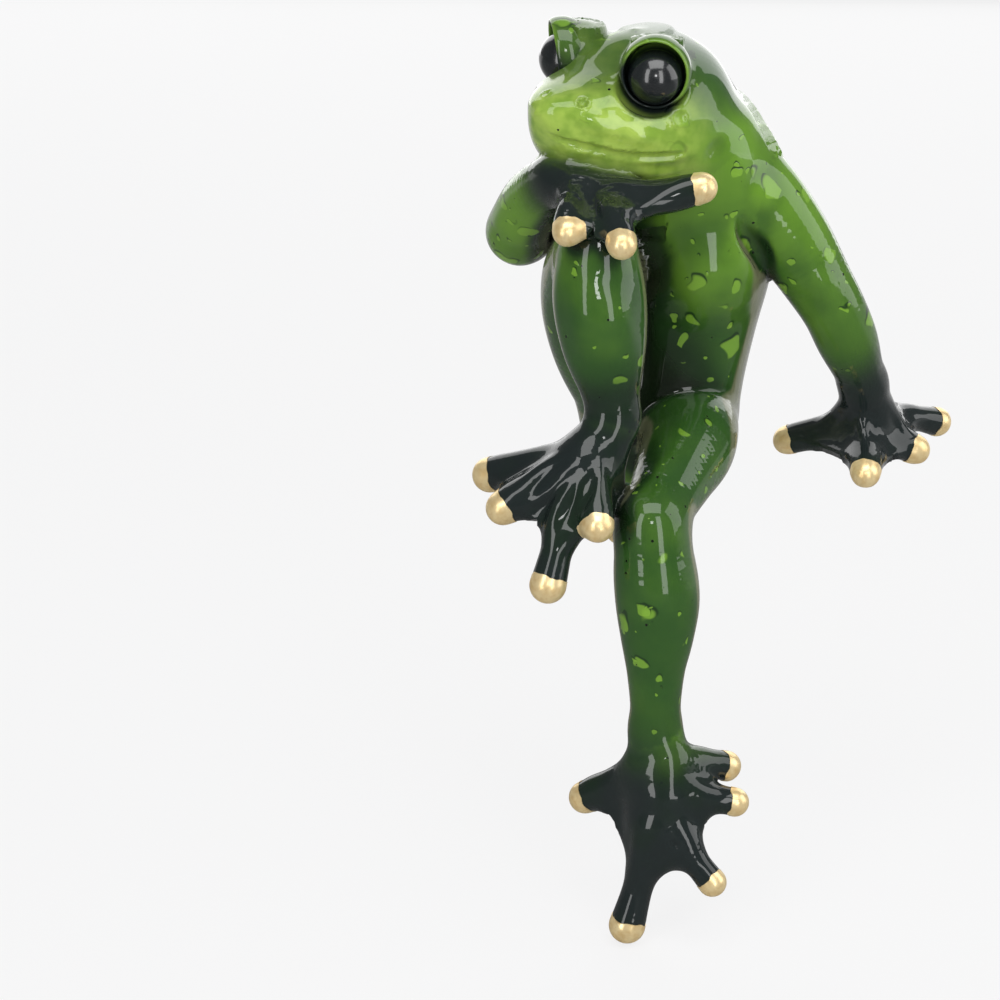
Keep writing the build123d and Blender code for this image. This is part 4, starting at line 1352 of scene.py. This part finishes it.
class FrogColours(bpy.types.PropertyGroup):
    """The colours of the glazes, gilt, eyes and felt."""

    # The light glaze is a painted highlight on the crests. The deep glaze and the pooled glaze are painted
    # shade in the hollows and creases, where the glaze also pools. The deep glaze also paints the shade along
    # each droplet's upper edge, and the pooled black also colours the small specks.
    highlight_glaze: colour_property("Light glaze", "Glaze on the crests of the body", (0.105, 0.225, 0.020))
    glaze_middle: colour_property("Middle glaze", "Glaze on the flats of the body", (0.022, 0.068, 0.012))
    pooled_shade_glaze: colour_property("Deep glaze", "Glaze pooled in the hollows", (0.008, 0.027, 0.006))
    crease_shade_and_speck_black: colour_property("Pooled glaze", "Glaze in the deepest creases", (0.004, 0.009, 0.003))
    droplet: colour_property("Droplets", "Round drops under the glaze", (0.17, 0.33, 0.032))
    face: colour_property("Face", "Yellow-green of the snout and jaw", (0.30, 0.43, 0.070))
    face_shade: colour_property("Face shade", "Darker patches of the face", (0.17, 0.29, 0.035))
    dark_glaze: colour_property("Dark glaze", "Hands and feet", (0.010, 0.015, 0.015))
    dark_green: colour_property("Dark green", "Green showing on hands and feet", (0.007, 0.018, 0.008))
    bare_light: colour_property("Light back", "Thinly glazed back, lighter streaks", (0.18, 0.185, 0.105))
    bare_dark: colour_property("Dark back", "Thinly glazed back, darker streaks", (0.125, 0.135, 0.07))
    gilt: colour_property("Gilt", "Finger and toe ends", (0.95, 0.76, 0.42))
    gilt_shade: colour_property("Gilt shade", "Duller patches of the gilt", (0.80, 0.58, 0.27))
    eye: colour_property("Eyes", "Polished black eyes", (0.004, 0.004, 0.006))
    felt: colour_property("Felt", "Pad under the seat", (0.02, 0.06, 0.025))
    felt_light: colour_property("Felt fibres", "Lighter fibres of the pad", (0.05, 0.12, 0.055))


class FrogSizes(bpy.types.PropertyGroup):
    """The sizes that the skin is worked out at."""

    coarse: bpy.props.FloatProperty(
        name="First skin", description="Grain of the first skin, in millimetres", default=1.3
    )
    fine: bpy.props.FloatProperty(
        name="Last skin", description="Grain of the last skin, in millimetres", default=0.9
    )
    gilt_thickness: bpy.props.FloatProperty(
        name="Gilt", description="How far the gilt stands proud, in millimetres", default=0.12
    )


# Operators


class FROG_OT_skin(bpy.types.Operator):
    """Works out the frog's skin from its limbs, trunk and head"""

    bl_idname = "frog.skin"
    bl_label = "Skin"

    def execute(self, context):
        sizes = context.scene.frog_sizes
        cast_frog(sizes.coarse, sizes.fine)
        return {"FINISHED"}


class FROG_OT_castings(bpy.types.Operator):
    """Cuts the skin into its castings and glazes them"""

    bl_idname = "frog.castings"
    bl_label = "Castings"

    def execute(self, context):
        finish = glaze_material(context.scene.frog_colours)
        for name in CASTINGS:
            take_casting(name, finish)
        return {"FINISHED"}


class FROG_OT_gilt_ends(bpy.types.Operator):
    """Gilds the ends of the fingers and toes"""

    bl_idname = "frog.gilt_ends"
    bl_label = "Gilt ends"

    def execute(self, context):
        finish = gilt_material(context.scene.frog_colours)
        proud = context.scene.frog_sizes.gilt_thickness
        groups = (
            ("left_toe_ends", LEFT_TOES), ("right_toe_ends", RIGHT_TOES),
            ("left_finger_ends", LEFT_FINGERS), ("right_finger_ends", RIGHT_FINGERS),
        )
        for name, rows in groups:
            caps = []
            for number, (root, tip, radii, _) in enumerate(rows):
                root, tip = np.asarray(root, float), np.asarray(tip, float)
                caps.append(gilt_cap(root, tip, radii[2], proud, number))
            only(caps[0])
            for cap in caps[1:]:
                cap.select_set(True)
            if len(caps) > 1:
                bpy.ops.object.join()
            piece = bpy.context.object
            piece.name = name + "_gilt"
            bpy.ops.object.shade_smooth_by_angle(angle=math.radians(50))
            piece.data.materials.append(finish)
            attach(piece, "root")
            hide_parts(name)
        return {"FINISHED"}


def gilt_cap(root, tip, radius, proud, number):
    """The gilded end of one finger or toe: a ball cut off along a brushed edge and closed."""
    way = (tip - root) / np.linalg.norm(tip - root)
    turn = Vector(way).to_track_quat("Z", "Y")
    deselect()
    bpy.ops.mesh.primitive_uv_sphere_add(
        segments=56, ring_count=36, radius=(radius + 0.6) * MM, location=Vector(tip) * MM,
        rotation=turn.to_euler(),
    )
    cap = bpy.context.object
    bpy.ops.object.transform_apply(location=True, rotation=True, scale=True)
    edge = tip - way * radius * 0.35
    bpy.ops.object.mode_set(mode="EDIT")
    bpy.ops.mesh.select_all(action="SELECT")
    bpy.ops.mesh.bisect(
        plane_co=Vector(edge) * MM, plane_no=Vector(-way), clear_outer=True, use_fill=True, threshold=1e-6
    )
    bpy.ops.object.mode_set(mode="OBJECT")
    p = points_of(cap.data)
    along = (p - edge) @ way
    rim = along < 0.02
    side, other = np.array(turn @ Vector((1, 0, 0))), np.array(turn @ Vector((0, 1, 0)))
    angle = np.arctan2((p - tip) @ other, (p - tip) @ side)
    wave = 0.45 * np.sin(3 * angle + number) + 0.25 * np.sin(7 * angle + 2.3 * number)
    p[rim] -= way * (wave[rim] * 0.8)[:, None]
    reach = np.linalg.norm((p - tip) - ((p - tip) @ way)[:, None] * way, axis=1)
    outer = reach > 0.5 * radius
    skin = ~rim | outer
    for _ in range(8):
        d, g = frog_field(p[skin])
        steep = (g * g).sum(1) + 1e-6
        p[skin] -= np.clip((d - proud) / steep, -1, 1)[:, None] * g
    put_points(cap.data, p)
    return cap


class FROG_OT_eyes(bpy.types.Operator):
    """Sets the polished black eyes in their lids"""

    bl_idname = "frog.eyes"
    bl_label = "Eyes"

    def execute(self, context):
        finish = eye_material(context.scene.frog_colours)
        for name, side in (("left_eye", 1), ("right_eye", -1)):
            centre, gaze = eye_place(side)
            deselect()
            bpy.ops.mesh.primitive_uv_sphere_add(
                segments=64, ring_count=40, radius=EYE_RADIUS * MM, location=Vector(centre) * MM,
                rotation=Vector(gaze).to_track_quat("Z", "Y").to_euler(),
            )
            piece = bpy.context.object
            piece.name = name + "_ball"
            bpy.ops.object.transform_apply(location=True, rotation=True, scale=True)
            bpy.ops.object.shade_smooth()
            piece.data.materials.append(finish)
            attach(piece, "root")
            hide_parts(name)
        return {"FINISHED"}


class FROG_OT_inner_pieces(bpy.types.Operator):
    """Gives the steel pins and the seat felt their finishes"""

    bl_idname = "frog.inner_pieces"
    bl_label = "Pins and felt"

    def execute(self, context):
        steel, felt = steel_material(), felt_material(context.scene.frog_colours)
        for name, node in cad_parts.items():
            if "pin" in name or name == "seat_felt":
                node.data.materials.clear()
                node.data.materials.append(felt if name == "seat_felt" else steel)
        return {"FINISHED"}


class FROG_OT_stage(bpy.types.Operator):
    """Sets up the floor, the lights and the camera"""

    bl_idname = "frog.stage"
    bl_label = "Stage"

    def execute(self, context):
        scene = context.scene
        scene.view_settings.view_transform = "Standard"
        low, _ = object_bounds()
        deselect()
        bpy.ops.mesh.primitive_plane_add(size=FLOOR_SIZE, location=(0, 0, low[2]))
        floor = bpy.context.object
        floor.name = "floor"
        material, tree, shader = nodes_of("floor_finish")
        w = Weaver(tree)
        shader.inputs["Base Color"].default_value = (0.9, 0.9, 0.9, 1)
        shader.inputs["Roughness"].default_value = 0.9
        glow = w.add("ShaderNodeEmission", {"Color": (0.905, 0.905, 0.908, 1), "Strength": 1.0})
        path = w.add("ShaderNodeLightPath")
        share = w.math("MULTIPLY", path.outputs["Is Camera Ray"], 0.9)
        both = w.add("ShaderNodeMixShader", {0: share, 1: shader.outputs[0], 2: glow.outputs[0]})
        behind = w.add("ShaderNodeSeparateXYZ", {"Vector": w.place()})
        level = w.math("MULTIPLY_ADD", w.step(behind.outputs["Y"], 0.08, 0.4), 0.4, 0.1)
        dim = w.add("ShaderNodeEmission", {"Color": (1.0, 1.0, 1.0, 1), "Strength": level})
        glossy = w.math("MULTIPLY", path.outputs["Is Glossy Ray"], 0.9)
        both = w.add("ShaderNodeMixShader", {0: glossy, 1: both.outputs[0], 2: dim.outputs[0]})
        tree.links.new(both.outputs[0], tree.nodes["Material Output"].inputs["Surface"])
        floor.data.materials.append(material)
        floor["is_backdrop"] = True

        world = bpy.data.worlds.new("studio")
        scene.world = world
        world.use_nodes = True
        w = Weaver(world.node_tree)
        path = w.add("ShaderNodeLightPath")
        clear = w.math("MAXIMUM", path.outputs["Is Camera Ray"], path.outputs["Is Transmission Ray"])
        level = w.math("MULTIPLY_ADD", path.outputs["Is Glossy Ray"], -0.26, 0.38)
        level = w.math("MULTIPLY_ADD", clear, w.math("SUBTRACT", 0.916, level), level)
        background = world.node_tree.nodes["Background"]
        background.inputs["Color"].default_value = (1.0, 1.0, 1.0, 1)
        w.give(background.inputs["Strength"], level)

        place, ahead = camera_frame()[:2]
        bpy.ops.object.camera_add(location=Vector(place) * MM)
        camera = bpy.context.object
        camera.rotation_euler = Vector(ahead).to_track_quat("-Z", "Y").to_euler()
        camera.data.lens = LENS
        camera.data.sensor_width = SENSOR
        camera.data.clip_start = 0.01
        scene.camera = camera

        for name, turn, rise, away, size, radiance in SOFT_BOXES:
            turn, rise = math.radians(turn) + CAMERA_TURN, math.radians(rise)
            way = Vector((math.sin(turn) * math.cos(rise), -math.cos(turn) * math.cos(rise), math.sin(rise)))
            bpy.ops.object.light_add(type="AREA", location=way * away)
            lamp = bpy.context.object
            lamp.name = name
            lamp.data.shape = "RECTANGLE"
            lamp.data.size, lamp.data.size_y = size
            lamp.data.energy = radiance * math.pi * size[0] * size[1]
            lamp.rotation_euler = way.to_track_quat("Z", "Y").to_euler()
            lamp.visible_camera = False
        return {"FINISHED"}


class FROG_PT_panel(bpy.types.Panel):
    """Shows a button for each of the frog's operators"""

    bl_idname = "FROG_PT_panel"
    bl_label = "Frog"
    bl_space_type = "VIEW_3D"
    bl_region_type = "UI"
    bl_category = "Frog"

    def draw(self, context):
        for operator in OPERATORS:
            self.layout.operator(operator.bl_idname)


OPERATORS = (
    FROG_OT_skin, FROG_OT_castings, FROG_OT_gilt_ends, FROG_OT_eyes, FROG_OT_inner_pieces, FROG_OT_stage,
)
GROUPS = (FrogColours, FrogSizes)


def register():
    """Adds the frog's properties, operators and panel."""
    for group in (*GROUPS, *OPERATORS, FROG_PT_panel):
        bpy.utils.register_class(group)
    bpy.types.Scene.frog_colours = bpy.props.PointerProperty(type=FrogColours)
    bpy.types.Scene.frog_sizes = bpy.props.PointerProperty(type=FrogSizes)


def unregister():
    """Takes them away again."""
    del bpy.types.Scene.frog_sizes
    del bpy.types.Scene.frog_colours
    for group in (FROG_PT_panel, *reversed(OPERATORS), *reversed(GROUPS)):
        bpy.utils.unregister_class(group)


def main():
    """Builds the frog and its stage."""
    register()
    bpy.ops.frog.skin()
    bpy.ops.frog.castings()
    bpy.ops.frog.gilt_ends()
    bpy.ops.frog.eyes()
    bpy.ops.frog.inner_pieces()
    bpy.ops.frog.stage()


if __name__ == "__main__":
    main()
